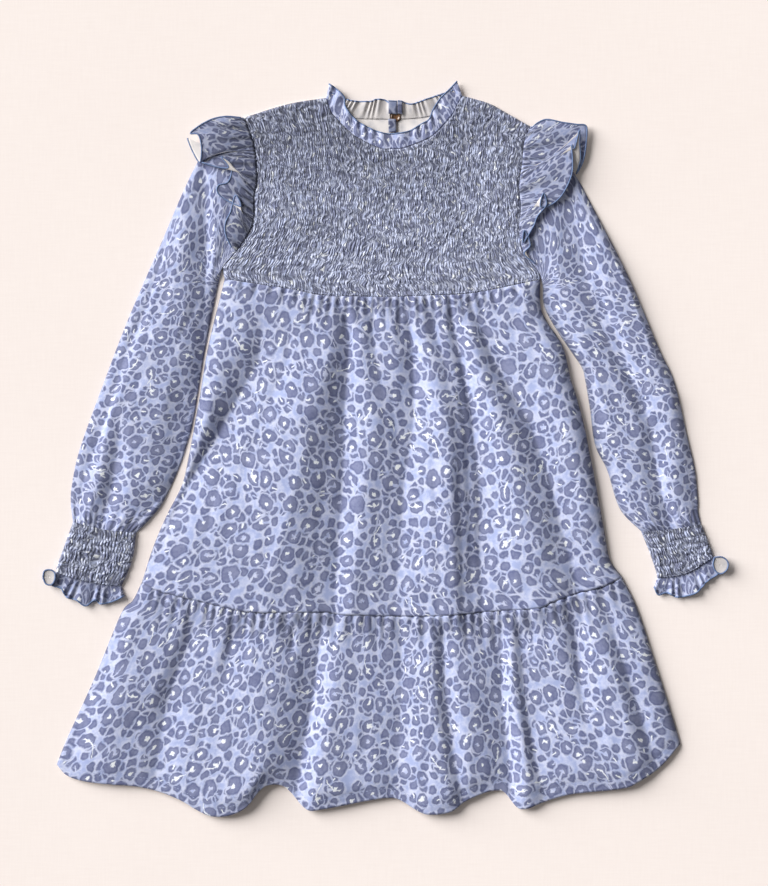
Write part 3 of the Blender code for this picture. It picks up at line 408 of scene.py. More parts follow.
SLEEVE_LEFT_LINES = (
    (
        (172, 170, 2.4), (168, 240, 2.6), (146, 310, 2.8), (124, 360, 2.8), (106, 420, 2.8),
        (84, 480, 2.4), (76, 525, 2.0),
    ),
    (
        (178, 180, 3.0), (174, 240, 4.0), (154, 310, 4.2), (138, 360, 4.6), (110, 420, 4.8),
        (100, 480, 5.2), (84, 525, 4.6),
    ),
    (
        (182, 180, 3.4), (178, 240, 4.6), (164, 310, 4.9), (150, 360, 5.2), (122, 415, 4.6),
        (113, 480, 2.0), (102, 525, 1.8),
    ),
    (
        (188, 190, 3.4), (183, 240, 5.2), (175, 310, 5.8), (166, 360, 6.0), (142, 405, 6.2),
        (134, 480, 5.6), (117, 525, 4.4),
    ),
    (
        (205, 190, 1.4), (207, 240, 1.2), (205, 300, 2.0), (203, 360, 1.2), (193, 400, 1.2),
        (180, 450, 1.0), (176, 480, 1.2), (136, 525, 2.2),
    ),
    (
        (216, 190, 3.0), (216, 260, 3.4), (214, 300, 2.8), (206, 400, 1.8), (190, 450, 2.2),
        (182, 480, 2.4), (146, 525, 3.4),
    ),
)
SLEEVE_RIGHT_LINES = (
    (
        (540, 200, 2.0), (543, 260, 2.6), (550, 320, 2.8), (572, 370, 2.8), (588, 420, 2.8),
        (600, 480, 2.6), (625, 525, 2.2),
    ),
    (
        (545, 200, 2.4), (557, 260, 4.0), (572, 300, 4.6), (592, 350, 5.4), (620, 400, 6.2),
        (634, 440, 5.8), (634, 480, 5.8), (648, 525, 4.8),
    ),
    (
        (570, 200, 1.6), (582, 260, 1.6), (592, 300, 2.8), (612, 350, 3.2), (643, 400, 2.4),
        (652, 440, 2.4), (658, 480, 1.6), (670, 525, 1.8),
    ),
    (
        (590, 200, 3.0), (611, 260, 5.6), (628, 300, 5.8), (645, 350, 5.8), (668, 400, 5.4),
        (672, 440, 5.2), (674, 480, 4.8), (684, 525, 4.0),
    ),
    (
        (600, 200, 2.0), (627, 260, 2.4), (642, 300, 2.4), (662, 350, 2.6), (682, 400, 2.6),
        (689, 440, 2.6), (690, 480, 2.0), (700, 525, 2.0),
    ),
)
# Short creases: height at the start and at the end, half width on the left and on the right, and
# the line along the crease. A negative height is a valley.
SKIRT_CREASES = (
    (-0.5, -0.8, 5, 6, ((-130, 40), (-146, -10), (-160, -60), (-170, -100))),
    (-0.5, -0.9, 5, 5, ((38, 70), (42, 20), (46, -40), (50, -110))),
    (-0.6, -0.6, 5, 6, ((-44, 20), (-56, -30), (-62, -80), (-64, -120))),
    (0.4, 0.7, 5, 5, ((-70, 10), (-84, -40), (-100, -100), (-106, -120))),
    (-0.6, -0.4, 6, 7, (at_pixel(290, 335), at_pixel(284, 375), at_pixel(268, 400))),
)
TIER_CREASES = (
    (-0.9, -0.5, 4, 4, (at_pixel(287, 612), at_pixel(293, 629), at_pixel(292, 651))),
    (-0.9, -0.5, 4, 4, (at_pixel(302, 612), at_pixel(293, 629), at_pixel(292, 651))),
    (-0.6, -0.8, 4, 5, ((172, -140), (177.6, -207), (184, -250))),
)
SLEEVE_LEFT_CREASES = ((-0.6, -0.5, 5, 6, (at_pixel(200, 300), at_pixel(176, 345), at_pixel(158, 402))),)
SLEEVE_RIGHT_CREASES = ((-0.8, -0.7, 6, 6, (at_pixel(600, 300), at_pixel(620, 344), at_pixel(640, 412))),)
# Small pleats under the waist seam: place across, length down and drift sideways.
WAIST_PLEATS = (
    (-131, 10, -2), (-118, 14, -3), (-104, 11, -2), (-92, 16, -3), (-80, 18, -3), (-71, 22, -4),
    (-64.4, 40, -8), (-56.1, 26, -4), (-49.7, 34, -5), (-42, 18, -2), (-34, 46, -4), (-28, 20, -1),
    (-23, 34, -3), (-16, 22, -1), (-10.1, 40, -2), (-5, 18, 0), (0, 30, 0), (6, 24, 0),
    (12.9, 50, 0), (18, 20, 1), (23, 32, 1), (30.4, 38, 1), (37, 20, 2), (44.2, 36, 3),
    (51, 22, 2), (58.9, 52, 4), (65, 24, 4), (69.9, 34, 5), (77, 22, 4), (84.6, 30, 6),
    (91, 18, 4), (97.5, 26, 6), (108, 14, 4), (119, 12, 3), (131, 9, 2),
)
# A ruffle's free edge: place along the seam, place in the photograph and height in each row.
RUFFLE_LEFT_PATH = (
    (0.0, 241, 118, 4.4), (0.02, 226, 117, 5.4), (0.05, 212, 120, 6.8), (0.08, 199, 127, 7.6),
    (0.10, 191, 134, 7.8), (0.12, 198, 135, 8.6), (0.14, 201, 141, 9.0), (0.17, 202, 152, 8.4),
    (0.20, 200, 163, 6.2), (0.22, 193, 152, 5.2), (0.24, 188, 139, 5.0), (0.26, 194, 148, 3.4),
    (0.28, 202, 161, 3.2), (0.31, 203, 163, 6.4), (0.35, 209, 165, 7.2), (0.38, 219, 168, 7.8),
    (0.41, 229, 168, 8.8), (0.44, 222, 158, 8.8), (0.47, 230, 163, 7.6), (0.50, 232, 173, 7.2),
    (0.53, 228, 183, 8.0), (0.57, 219, 186, 7.6), (0.61, 218, 193, 7.4), (0.65, 226, 200, 6.6),
    (0.69, 241, 207, 8.8), (0.72, 236, 196, 8.6), (0.75, 231, 212, 6.6), (0.80, 226, 223, 7.2),
    (0.84, 226, 235, 6.2), (0.88, 232, 248, 4.8),
)
RUFFLE_RIGHT_PATH = (
    (0.0, 532, 128, 4.4), (0.02, 538, 123, 5.2), (0.04, 547, 120, 6.0), (0.08, 562, 123, 6.4),
    (0.12, 576, 125, 6.4), (0.15, 586, 127, 5.6), (0.18, 586, 143, 4.6), (0.22, 583, 161, 4.0),
    (0.25, 576, 174, 3.6), (0.28, 580, 160, 5.6), (0.31, 579, 143, 7.6), (0.335, 579, 131, 8.6),
    (0.36, 574, 149, 8.8), (0.39, 571, 146, 9.2), (0.42, 572, 160, 9.0), (0.46, 571, 176, 8.6),
    (0.50, 562, 195, 7.8), (0.54, 551, 205, 6.6), (0.57, 540, 207, 8.8), (0.60, 543, 194, 8.4),
    (0.63, 546, 205, 8.0), (0.67, 537, 217, 8.0), (0.71, 533, 227, 7.0), (0.75, 523, 243, 8.0),
    (0.78, 524, 231, 8.0), (0.82, 530, 245, 6.6), (0.86, 524, 254, 6.0), (0.90, 535, 264, 4.6),
)
# Outlines of the curls at the cuff frills' outer ends, as places in the photograph.
CURL_LEFT = (
    (43.5, 577), (45, 571), (50, 569.5), (55, 572), (55.5, 579), (52, 584.5), (46.5, 583.5), (43.5, 577),
)
CURL_RIGHT = (
    (714, 557), (722, 557), (727.4, 562), (726.5, 569), (721, 573.5), (715, 571), (712.5, 564), (714, 557),
)
BUTTON_PROFILE = (
    (0.0, 1.7), (1.6, 1.7), (2.9, 1.75), (3.2, 2.25), (3.6, 2.4), (4.1, 2.3), (4.5, 1.8), (4.5, 0.6),
    (4.0, 0.1), (0.0, 0.1),
)


def soft_noise(x, y, cell, seed):
    """Smooth uneven heights from -1 to 1, about one bump in each cell of this size."""
    table = np.random.default_rng(seed).uniform(-1, 1, (64, 64))
    gx = x / cell + 17.3
    gy = y / cell + 9.1
    ix = np.floor(gx).astype(int)
    iy = np.floor(gy).astype(int)
    fx = gx - ix
    fy = gy - iy
    fx = fx * fx * (3 - 2 * fx)
    fy = fy * fy * (3 - 2 * fy)

    def corner(dx, dy):
        return table[(iy + dy) % 64, (ix + dx) % 64]

    low = corner(0, 0) * (1 - fx) + corner(1, 0) * fx
    high = corner(0, 1) * (1 - fx) + corner(1, 1) * fx
    return low * (1 - fy) + high * fy


def crest_lines(plan, lines, depth=FOLD_DEPTH):
    """Height of the broad folds: round over their crest lines and sharp in their valley lines."""
    x = plan[..., 0]
    y = plan[..., 1]
    height = np.zeros(x.shape)
    before = None
    for line in lines:
        px, py, tops = np.array(line, dtype=float).T
        line_x, line_y = at_pixel(px, py)
        place = np.interp(-y, -line_y, line_x)
        top = np.interp(-y, -line_y, tops)
        if before is None:
            height += top
        else:
            place = np.maximum(place, before[0] + 0.8)
            part = np.clip((x - before[0]) / (place - before[0]), 0.0, 1.0)
            arched = np.where(top > before[1], 1 - (1 - part) ** 2, part**2)
            height += (top - before[1]) * (0.6 * arched + 0.4 * part * part * (3 - 2 * part))
        before = (place, top)
    return height * depth


def line_folds(plan, folds):
    """Height that a table of creases gives at each plan point."""
    x = plan[..., 0]
    y = plan[..., 1]
    height = np.zeros(x.shape)
    for start, stop, left, right, line in folds:
        px, py = np.array(line, dtype=float).T
        centre = np.interp(-y, -py, px)
        along = (y - py[0]) / (py[-1] - py[0])
        size = CREASE_DEPTH * (start + (stop - start) * np.clip(along, 0.0, 1.0))
        size = size * ramp(along, -0.1, 0.12) * (1 - ramp(along, 0.9, 1.15))
        side = (x - centre) / np.where(x < centre, left, right)
        if start + stop < 0:
            height += size * np.exp(0.28 - np.sqrt((1.35 * side) ** 2 + 0.08))
        else:
            height += size * np.exp(-(side**2))
    return height


def pleats(x, below, table, depth, half_width):
    """Small valleys that start at a gathered seam. below is the distance under it."""
    height = np.zeros(x.shape)
    for centre, length, drift in table:
        along = below / length
        side = x - centre - drift * along
        width = half_width * (1 + 0.8 * np.clip(along, 0.0, 1.2))
        height -= depth * (1 - ramp(along, 0.15, 1.15)) * np.exp(-((side / width) ** 2))
    return height


def tree_of(name):
    material = bpy.data.materials.new(name)
    material.use_nodes = True
    return material, material.node_tree


class Value:
    """An output in a node tree, with arithmetic that adds the nodes that it needs."""

    def __init__(self, tree, output):
        self.tree = tree
        self.output = output

    def op(self, operation, *others, clamp=False):
        node = self.tree.nodes.new("ShaderNodeMath")
        node.operation = operation
        node.use_clamp = clamp
        for place, value in enumerate((self, *others)):
            feed(self.tree, node.inputs[place], value)
        return Value(self.tree, node.outputs[0])

    def __add__(self, other):
        return self.op("ADD", other)

    def __sub__(self, other):
        return self.op("SUBTRACT", other)

    def __rsub__(self, other):
        return (self * -1.0) + other

    def __mul__(self, other):
        return self.op("MULTIPLY", other)

    def inside(self, softness):
        """1 where the value is above zero and 0 below it, with a soft border."""
        node = self.tree.nodes.new("ShaderNodeMapRange")
        node.interpolation_type = "SMOOTHSTEP"
        feed(self.tree, node.inputs["Value"], self)
        node.inputs["From Min"].default_value = -softness
        node.inputs["From Max"].default_value = softness
        return Value(self.tree, node.outputs[0])

    def above(self, level):
        return self.op("GREATER_THAN", level)

    def clamped(self):
        return self.op("MULTIPLY", 1.0, clamp=True)

    def rest(self):
        """What is missing to 1."""
        return self * -1.0 + 1.0


def feed(tree, socket, value):
    if isinstance(value, Value):
        tree.links.new(value.output, socket)
    elif value is not None:
        socket.default_value = value


def texture(tree, kind, place, output, **settings):
    """A texture node: lower-case settings are its options, the others its inputs."""
    node = tree.nodes.new("ShaderNodeTex" + kind)
    for name, setting in settings.items():
        if name.islower():
            setattr(node, name, setting)
        else:
            node.inputs[name.replace("_", " ")].default_value = setting
    tree.links.new(place.output, node.inputs["Vector"])
    return node if output is None else Value(tree, node.outputs[output])


def noise(tree, place, scale, detail, **settings):
    """Noise from 0 to 1 over the flat cloth, with about this many bumps a metre."""
    return texture(
        tree, "Noise", place, "Fac", noise_dimensions="2D", Scale=scale, Detail=detail, **settings
    )


def mixed(tree, first, second, amount):
    node = tree.nodes.new("ShaderNodeMix")
    node.data_type = "RGBA"
    feed(tree, node.inputs[0], amount)
    for socket, value in ((node.inputs[6], first), (node.inputs[7], second)):
        feed(tree, socket, value if isinstance(value, Value) else (*value, 1.0))
    return Value(tree, node.outputs[2])


def vector_op(tree, operation, first, *others):
    node = tree.nodes.new("ShaderNodeVectorMath")
    node.operation = operation
    for place, value in enumerate((first, *others)):
        if operation == "SCALE" and place == 1:
            feed(tree, node.inputs["Scale"], value)
        else:
            feed(tree, node.inputs[place], value)
    return Value(tree, node.outputs[0])


def parts_of(tree, vector):
    node = tree.nodes.new("ShaderNodeSeparateXYZ")
    tree.links.new(vector.output, node.inputs[0])
    return [Value(tree, output) for output in node.outputs]


def channels(tree, colour):
    """The three channels of a colour output."""
    node = tree.nodes.new("ShaderNodeSeparateColor")
    tree.links.new(colour, node.inputs[0])
    return [Value(tree, output) for output in node.outputs]


def cloth_place(tree):
    """The flat cloth's own coordinates, in metres."""
    node = tree.nodes.new("ShaderNodeUVMap")
    node.uv_map = "cloth"
    return Value(tree, node.outputs[0])


def wandering(tree, place, scale, amount):
    """The place moved about a little by noise."""
    colour = texture(tree, "Noise", place, "Color", noise_dimensions="2D", Scale=scale, Detail=1.0)
    moved = vector_op(tree, "SUBTRACT", colour, (0.5, 0.5, 0.5))
    return vector_op(tree, "ADD", place, vector_op(tree, "SCALE", moved, amount))


def chances(tree, place):
    """Three even chances from 0 to 1 that belong to a place."""
    node = tree.nodes.new("ShaderNodeTexWhiteNoise")
    node.noise_dimensions = "2D"
    tree.links.new(place.output, node.inputs["Vector"])
    return channels(tree, node.outputs["Color"])


def length_of(tree, vector):
    node = tree.nodes.new("ShaderNodeVectorMath")
    node.operation = "LENGTH"
    tree.links.new(vector.output, node.inputs[0])
    return Value(tree, node.outputs["Value"])


def cells(tree, place, scale, randomness):
    """The nearest cell's centre and its chances, and the distance to the cell's border."""
    options = {"voronoi_dimensions": "2D", "Scale": scale, "Randomness": randomness}
    cell = texture(tree, "Voronoi", place, None, feature="F1", **options)
    border = texture(tree, "Voronoi", place, "Distance", feature="DISTANCE_TO_EDGE", **options)
    centre = Value(tree, cell.outputs["Position"])
    return centre, channels(tree, cell.outputs["Color"]), border


def rosette_radius(chance):
    return chance * ROSETTE_SPREAD + ROSETTE_RADIUS


def in_cell(tree, place, centre, scale, angle):
    """The place in a cell of this many a metre, from its centre and turned by this angle."""
    away = vector_op(tree, "SUBTRACT", place, centre)
    return turned(tree, vector_op(tree, "SCALE", away, scale), angle)


def turned(tree, vector, angle):
    node = tree.nodes.new("ShaderNodeVectorRotate")
    node.rotation_type = "Z_AXIS"
    tree.links.new(vector.output, node.inputs["Vector"])
    feed(tree, node.inputs["Angle"], angle)
    return parts_of(tree, Value(tree, node.outputs[0]))[:2]


def rosettes(tree, place):
    """The large spots: horseshoes, rings, pairs of beans and plain blobs, many with a white fleck."""
    centre, chance, border = cells(tree, place, ROSETTE_SCALE, ROSETTE_RANDOMNESS)
    other = chances(tree, centre)
    x, y = in_cell(tree, place, centre, ROSETTE_SCALE, chance[0] * TURN)
    tall = y * (chance[2] * 0.38 + 0.94)
    round_distance = (x * x + tall * tall).op("SQRT")
    uneven = noise(tree, place, 95.0, 1.0) * 0.24 - 0.11
    body = (border - 0.045).op("SMOOTH_MIN", rosette_radius(chance[1]) - round_distance + uneven, 0.09)
    ink = body.inside(0.05)
    ragged = noise(tree, place, 420.0, 1.0)
    hole_x = x - (other[0] * 0.10 - 0.02)
    plain = other[1].above(RING_SHARE) * 0.6
    round_hole = (hole_x * hole_x + y * y * 0.75).op("SQRT")
    hole = other[1] * 0.035 + 0.07 - round_hole + (ragged - 0.5) * 0.17 - plain
    bent = (y - x * x * 0.8).op("ABSOLUTE")
    notch = x.op("MINIMUM", x * 0.13 + 0.03 - bent) - other[2].above(OPEN_SHARE) * 0.5 - plain
    pair = chance[2].above(PAIR_SHARE)
    bow = (y + x * x * 0.9 - 0.04 + (ragged - 0.5) * 0.08).op("ABSOLUTE")
    slit = (x + 0.2).op("MINIMUM", 0.032 - bow) - pair.rest() * 0.9
    gone = hole.op("MAXIMUM", notch).op("MAXIMUM", slit).inside(0.025)
    fleck = (hole - 0.012).op("MAXIMUM", slit - 0.010).inside(0.022) * other[0].above(FLECK_SHARE)
    return ink * gone.rest(), fleck, body


def small_spots(tree, place, rosette_body):
    """Round and long spots that fill the room between the rosettes."""
    ratio = SPOT_SCALE / ROSETTE_SCALE
    centre, chance, border = cells(tree, place, SPOT_SCALE, SPOT_RANDOMNESS)
    other = chances(tree, centre)
    near = texture(
        tree, "Voronoi", centre, None, voronoi_dimensions="2D", feature="F1", Scale=ROSETTE_SCALE,
        Randomness=ROSETTE_RANDOMNESS,
    )
    near_chance = channels(tree, near.outputs["Color"])
    away = vector_op(tree, "SUBTRACT", centre, Value(tree, near.outputs["Position"]))
    room = length_of(tree, away) * SPOT_SCALE - rosette_radius(near_chance[1]) * ratio
    x, y = in_cell(tree, place, centre, SPOT_SCALE, chance[0] * TURN)
    tall = y * (chance[2] * 0.5 + 0.85)
    round_distance = (x * x + tall * tall).op("SQRT")
    inner = (border - 0.08).op("SMOOTH_MIN", chance[1] * SPOT_SPREAD + SPOT_RADIUS - round_distance, 0.24)
    outside = rosette_body * -ratio - 0.15
    body = inner.op("SMOOTH_MIN", outside, 0.10) - (room * -1.0).above(0.10) * 2.0
    ink = body.inside(0.10)
    slot = x.op("MINIMUM", 0.055 - y.op("ABSOLUTE")).inside(0.04) * other[0].above(SLOT_SHARE)
    white = slot * other[1].above(WHITE_SHARE) * ink
    return ink * slot.rest(), white, body


def animal_print(tree, place):
    """Where the print has ink and where it is white, and how deep inside a spot a point is."""
    wide = wandering(tree, place, 150.0, 0.0032)
    moved = wandering(tree, wide, 520.0, 0.0011)
    ink, fleck, body = rosettes(tree, moved)
    small, white, small_body = small_spots(tree, moved, body)
    depth = (body * (SPOT_SCALE / ROSETTE_SCALE)).op("MAXIMUM", small_body)
    return ink.op("MAXIMUM", small), fleck.op("MAXIMUM", white), depth


def add_bump(tree, shader, height, strength):
    bump = tree.nodes.new("ShaderNodeBump")
    bump.inputs["Strength"].default_value = strength
    bump.inputs["Distance"].default_value = BUMP_DEPTH
    tree.links.new(height.output, bump.inputs["Height"])
    tree.links.new(bump.outputs[0], shader.inputs["Normal"])


def cloth_bump(tree, place, shader):
    """Plain weave of warp and weft threads, with a little unevenness."""
    x, y, _ = parts_of(tree, place)
    warp = (x * (TURN / WEAVE_PITCH)).op("SINE")
    weft = (y * (TURN / WEAVE_PITCH)).op("SINE")
    uneven = noise(tree, place, 900.0, 2.0)
    height = warp * weft + uneven * 1.6
    add_bump(tree, shader, height, WEAVE_STRENGTH)
    return height


def printed_cloth(name, ground, bright, ink, deep, painted_shade):
    """Light cotton with the animal-spot print. A per-point attribute paints shade into the colour."""
    material, tree = tree_of(name)
    shader = tree.nodes["Principled BSDF"]
    place = cloth_place(tree)
    spots, flecks, depth = animal_print(tree, place)
    cloud = noise(tree, place, 110.0, 3.0, Roughness=0.7)
    halo = (depth + 0.20).inside(0.16) * 0.45
    base = mixed(tree, ground, bright, (cloud * 3.0 - 1.25 + halo).clamped())
    grain = noise(tree, place, 330.0, 2.0)
    wash = noise(tree, place, 60.0, 1.0)
    border = (depth - 0.15).inside(0.12) * -0.7 + 0.7
    ink_tone = (wash * 1.2 + grain * 1.1 - 0.5 - border).clamped()
    colour = mixed(tree, base, mixed(tree, deep, ink, ink_tone), spots)
    colour = mixed(tree, colour, WHITE, flecks)
    height = cloth_bump(tree, place, shader)
    shade = height * 0.03 + 0.965
    # Painted shade: a value stored on each point darkens the colour, times this material's strength.
    node = tree.nodes.new("ShaderNodeAttribute")
    node.attribute_name = "painted_shade"
    shade = shade * (Value(tree, node.outputs["Fac"]) * -painted_shade + 1.0)
    colour = mixed(tree, (0.0, 0.0, 0.0), colour, shade)
    tree.links.new(colour.output, shader.inputs["Base Color"])
    shader.inputs["Roughness"].default_value = 0.82
    shader.inputs["Sheen Weight"].default_value = 0.2
    shader.inputs["Sheen Roughness"].default_value = 0.5
    shader.inputs["Specular IOR Level"].default_value = 0.25
    return material


def plain_cloth(name, first, second):
    """Unprinted cloth with a faint show-through of the print."""
    material, tree = tree_of(name)
    shader = tree.nodes["Principled BSDF"]
    place = cloth_place(tree)
    blot = texture(
        tree, "Voronoi", place, "Distance", voronoi_dimensions="2D", feature="F1", Scale=SPOT_SCALE
    )
    colour = mixed(tree, second, first, (blot * 2.2).clamped())
    tree.links.new(colour.output, shader.inputs["Base Color"])
    cloth_bump(tree, place, shader)
    shader.inputs["Roughness"].default_value = 0.88
    shader.inputs["Sheen Weight"].default_value = 0.2
    return material


def thread(name, colour, dark, pitch):
    """Thread wrapped or laid in close turns, mottled, lighter on each turn and with painted shade between
    them.
    """
    material, tree = tree_of(name)
    shader = tree.nodes["Principled BSDF"]
    place = cloth_place(tree)
    x, y, _ = parts_of(tree, place)
    turns = (y * (TURN / pitch) + x * 900.0).op("SINE")
    mottle = noise(tree, place, 350.0, 2.0)
    amount = (turns * 0.3 + mottle * 1.4 - 0.25).clamped()
    tree.links.new(mixed(tree, dark, colour, amount).output, shader.inputs["Base Color"])
    add_bump(tree, shader, turns, 0.5)
    shader.inputs["Roughness"].default_value = 0.6
    shader.inputs["Sheen Weight"].default_value = 0.2
    return material


def new_piece(name, vertices, faces, uv, materials, flags=None):
    """An object in metres from plan millimetres, with the flat cloth's coordinates in its UV map."""
    centred = np.array(vertices, dtype=float).reshape(-1, 3)
    centred[:, :2] -= OUTLINE_CENTRE
    mesh = bpy.data.meshes.new(name)
    mesh.from_pydata((centred * MM).tolist(), [], [tuple(face) for face in faces])
    for material in materials:
        mesh.materials.append(material)
    corners = np.empty(len(mesh.loops), dtype=int)
    mesh.loops.foreach_get("vertex_index", corners)
    layer = mesh.uv_layers.new(name="cloth")
    layer.data.foreach_set("uv", (np.array(uv).reshape(-1, 2)[corners] * MM).ravel())
    if flags is not None:
        mesh.polygons.foreach_set("material_index", np.asarray(flags, dtype=np.int32))
    mesh.shade_smooth()
    obj = bpy.data.objects.new(name, mesh)
    bpy.context.scene.collection.objects.link(obj)
    return obj


def mark_painted_shade(obj, values):
    """Marks painted shade: how little light reaches each point, 0 on a crest and 1 at the bottom of a
    pleat.
    """
    layer = obj.data.attributes.new("painted_shade", "FLOAT", "POINT")
    layer.data.foreach_set("value", np.asarray(values, dtype=np.float32).ravel())


# Painted shade in the grooves between smocked ribs: 1 in a groove and 0 on a rib's top.
def rib_painted_shade(ribs):
    return 1 - ramp(ribs, 0.05, 0.55)


def grid_quads(rows, columns, flip=False):
    row, column = np.meshgrid(np.arange(rows - 1), np.arange(columns - 1), indexing="ij")
    first = (row * columns + column).ravel()
    quads = np.column_stack([first, first + columns, first + columns + 1, first + 1])
    return (quads[:, ::-1] if flip else quads).tolist()


def facing_down(points):
    """True if the grid's faces would look down, taken over its whole area."""
    down = points[1:, :-1, :2] - points[:-1, :-1, :2]
    across = points[:-1, 1:, :2] - points[:-1, :-1, :2]
    return (down[..., 0] * across[..., 1] - down[..., 1] * across[..., 0]).sum() < 0


def finished(obj, nodes=()):
    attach(obj, "root")
    if nodes:
        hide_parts(*nodes)
    return obj


def thick(obj, wall, offset=-1.0, inner=1):
    solid = obj.modifiers.new("cloth", "SOLIDIFY")
    solid.thickness = wall * MM
    solid.offset = offset
    solid.material_offset = inner
    return obj


def cloth(name, points, uv, materials, nodes=(), wall=WALL, flip=None):
    """A sheet from a grid of points on its upper side, thickened downwards."""
    rows, columns = points.shape[:2]
    down = facing_down(points) if flip is None else flip
    obj = new_piece(name, points, grid_quads(rows, columns, down), uv, materials)
    thick(obj, wall, inner=1 if len(materials) > 1 else 0)
    return finished(obj, nodes)


def lifted(plan, height):
    return np.dstack([plan, height])


def tube_along(name, path, radius, material, sides=7):
    """A thin rolled edge or thread that follows a path."""
    path = np.array(path, dtype=float)
    along = np.gradient(path, axis=0)
    along /= np.linalg.norm(along, axis=1, keepdims=True) + 1e-9
    side = np.cross(along, (0.0, 0.0, 1.0))
    side /= np.linalg.norm(side, axis=1, keepdims=True) + 1e-9
    up = np.cross(side, along)
    turn = np.linspace(0.0, 2 * np.pi, sides + 1)
    radius = np.broadcast_to(np.asarray(radius, dtype=float), (len(path),))[:, None, None]
    ring = side[:, None] * np.cos(turn)[None, :, None]
    ring = ring + up[:, None] * np.sin(turn)[None, :, None]
    points = path[:, None] + ring * radius
    reach = distances(path)
    turns = np.broadcast_to(turn[None], (len(path), sides + 1))
    uv = np.dstack([turns, np.repeat(reach[:, None], sides + 1, 1)])
    faces = grid_quads(len(path), sides + 1)
    faces.append(tuple(range(sides)))
    last = (len(path) - 1) * (sides + 1)
    faces.append(tuple(last + place for place in reversed(range(sides))))
    obj = new_piece(name, points, faces, uv, [material])
    return finished(obj)


def stitches(name, path, length, space, width, material, sink=0.12):
    """Short raised stitches in a row along a path on the cloth."""
    path = np.array(path, dtype=float)
    reach = distances(path)
    starts = np.arange(space, reach[-1] - length, length + space)
    vertices = []
    faces = []
    uv = []
    profile = ((0.0, 0.35), (0.3, 1.0), (0.7, 1.0), (1.0, 0.35))
    turns = np.linspace(0.0, np.pi, 5)

    def point_at(distance):
        return np.array([np.interp(distance, reach, path[:, axis]) for axis in (0, 1, 2)])

    for start in starts:
        ends = [point_at(start + part * length) for part, _ in profile]
        way = ends[-1] - ends[0]
        side = np.array([-way[1], way[0], 0.0]) / (np.hypot(way[0], way[1]) + 1e-9)
        first = len(vertices)
        for point, (part, size) in zip(ends, profile, strict=True):
            for turn in turns:
                lift = np.sin(turn) * size * width * 0.7 - sink
                vertices.append(point + side * np.cos(turn) * size * width * 0.5 + (0.0, 0.0, lift))
                uv.append((turn * 0.1, part * length))
        quads = np.array(grid_quads(len(profile), len(turns))) + first
        faces += quads.tolist()
        for end in (0, len(profile) - 1):
            rim = [first + end * len(turns) + place for place in range(len(turns))]
            faces.append(tuple(rim if end else rim[::-1]))
    obj = new_piece(name, vertices, faces, uv, [material])
    return finished(obj)


def up_from_end(points, distance):
    """The line across a grid that is this far from its last row."""
    steps = np.linalg.norm(np.diff(points[::-1], axis=0), axis=2)
    reach = np.vstack([np.zeros(points.shape[1]), np.cumsum(steps, axis=0)])
    flipped = points[::-1]
    return np.array(
        [
            [np.interp(distance, reach[:, column], flipped[:, column, axis]) for axis in (0, 1, 2)]
            for column in range(points.shape[1])
        ]
    )


# The last value sets how strongly each piece's painted shade darkens the print.
PRINT = printed_cloth(
    "print", ground=(0.375, 0.438, 0.705), bright=(0.60, 0.638, 0.835), ink=(0.243, 0.266, 0.425),
    deep=(0.13, 0.15, 0.29), painted_shade=0.6,
)
CREAM = plain_cloth("wrong_side_cloth", (0.73, 0.69, 0.68), (0.62, 0.59, 0.60))
# The cream wrong side again, made darker as painted shade, for the inside back, the back neck frills and
# the insides of the curls.
SHADED_CREAM = plain_cloth("shaded_wrong_side_cloth", (0.62, 0.585, 0.58), (0.47, 0.455, 0.475))
EDGE = thread("edge_thread", (0.17, 0.25, 0.45), (0.06, 0.10, 0.22), 0.0011)
STITCH = thread("stitch_thread", (0.44, 0.50, 0.72), (0.24, 0.28, 0.45), 0.0009)


def rounded(distance, reach):
    """0 at an edge and 1 from this distance on, as a round rim does."""
    t = np.clip(1 - distance / reach, 0.0, 1.0)
    return np.sqrt(1 - t * t)


def rim_painted_shade(distance, reach):
    """How much painted shade a round rim gets, where the cloth turns down to the surface."""
    return 0.75 * (1 - rounded(distance, reach))


def side_distance(plan):
    """How far each point of a panel is from the nearer side edge."""
    x = plan[..., 0]
    return np.minimum(x - x[:, :1], x[:, -1:] - x)


def side_points(armhole, waist_end, places):
    """The bodice's side edge: the armhole and then the side seam down to the waist."""
    return along_line(np.vstack([smooth_curve(armhole), [waist_end]]), places)


def bodice_top_edge(columns):
    """The bodice front's top edge: shoulder, neck, shoulder."""
    line = np.vstack(
        [smooth_curve(SHOULDER_LEFT), smooth_curve(NECK_FRONT)[1:], smooth_curve(SHOULDER_RIGHT)[1:]]
    )
    x = line[0, 0] + columns * (line[-1, 0] - line[0, 0])
    return np.column_stack([x, np.interp(x, line[:, 0], line[:, 1])])


def smocking(across, y, ribs, spacing, seed):
    """Ribs drawn up by rows of elastic thread: 0 in the grooves and 1 on the puffs.

    Also returns the place along the flat cloth, in ribs: a rib's top shows little of its cloth and
    its steep sides take the rest.
    """
    along = across * ribs
    row = y / spacing + soft_noise(along, y, 5.0, seed + 4) * 0.9
    line = np.floor(row)
    part = row - line
    blend = part * part * (3 - 2 * part)
    shift = soft_noise(along * 2.6, y, 4.6, seed + 1) * 0.55 + soft_noise(along, y, 14.0, seed + 3) * 0.6
    turn = along + shift + soft_noise(along * 0.4, y, 3.0, seed + 6) * 1.1
    which = np.floor(turn)
    rib = abs(np.sin(np.pi * turn)) ** 0.75
    chance = np.random.default_rng(seed + 2).uniform(0, 1, (400, 64))
    size = chance[which.astype(int) % 400, line.astype(int) % 64]
    after = chance[which.astype(int) % 400, (line.astype(int) + 1) % 64]
    puff = 0.25 + 0.75 * (size * (1 - blend) + after * blend)
    tuck = 1 - 0.75 * np.exp(-(((part - 0.5) / 0.16) ** 2))
    inside = 2 * (turn - which) - 1
    flat = which + 0.5 + 0.5 * (0.3 * inside + 0.7 * inside**3)
    return rib * puff * tuck, flat


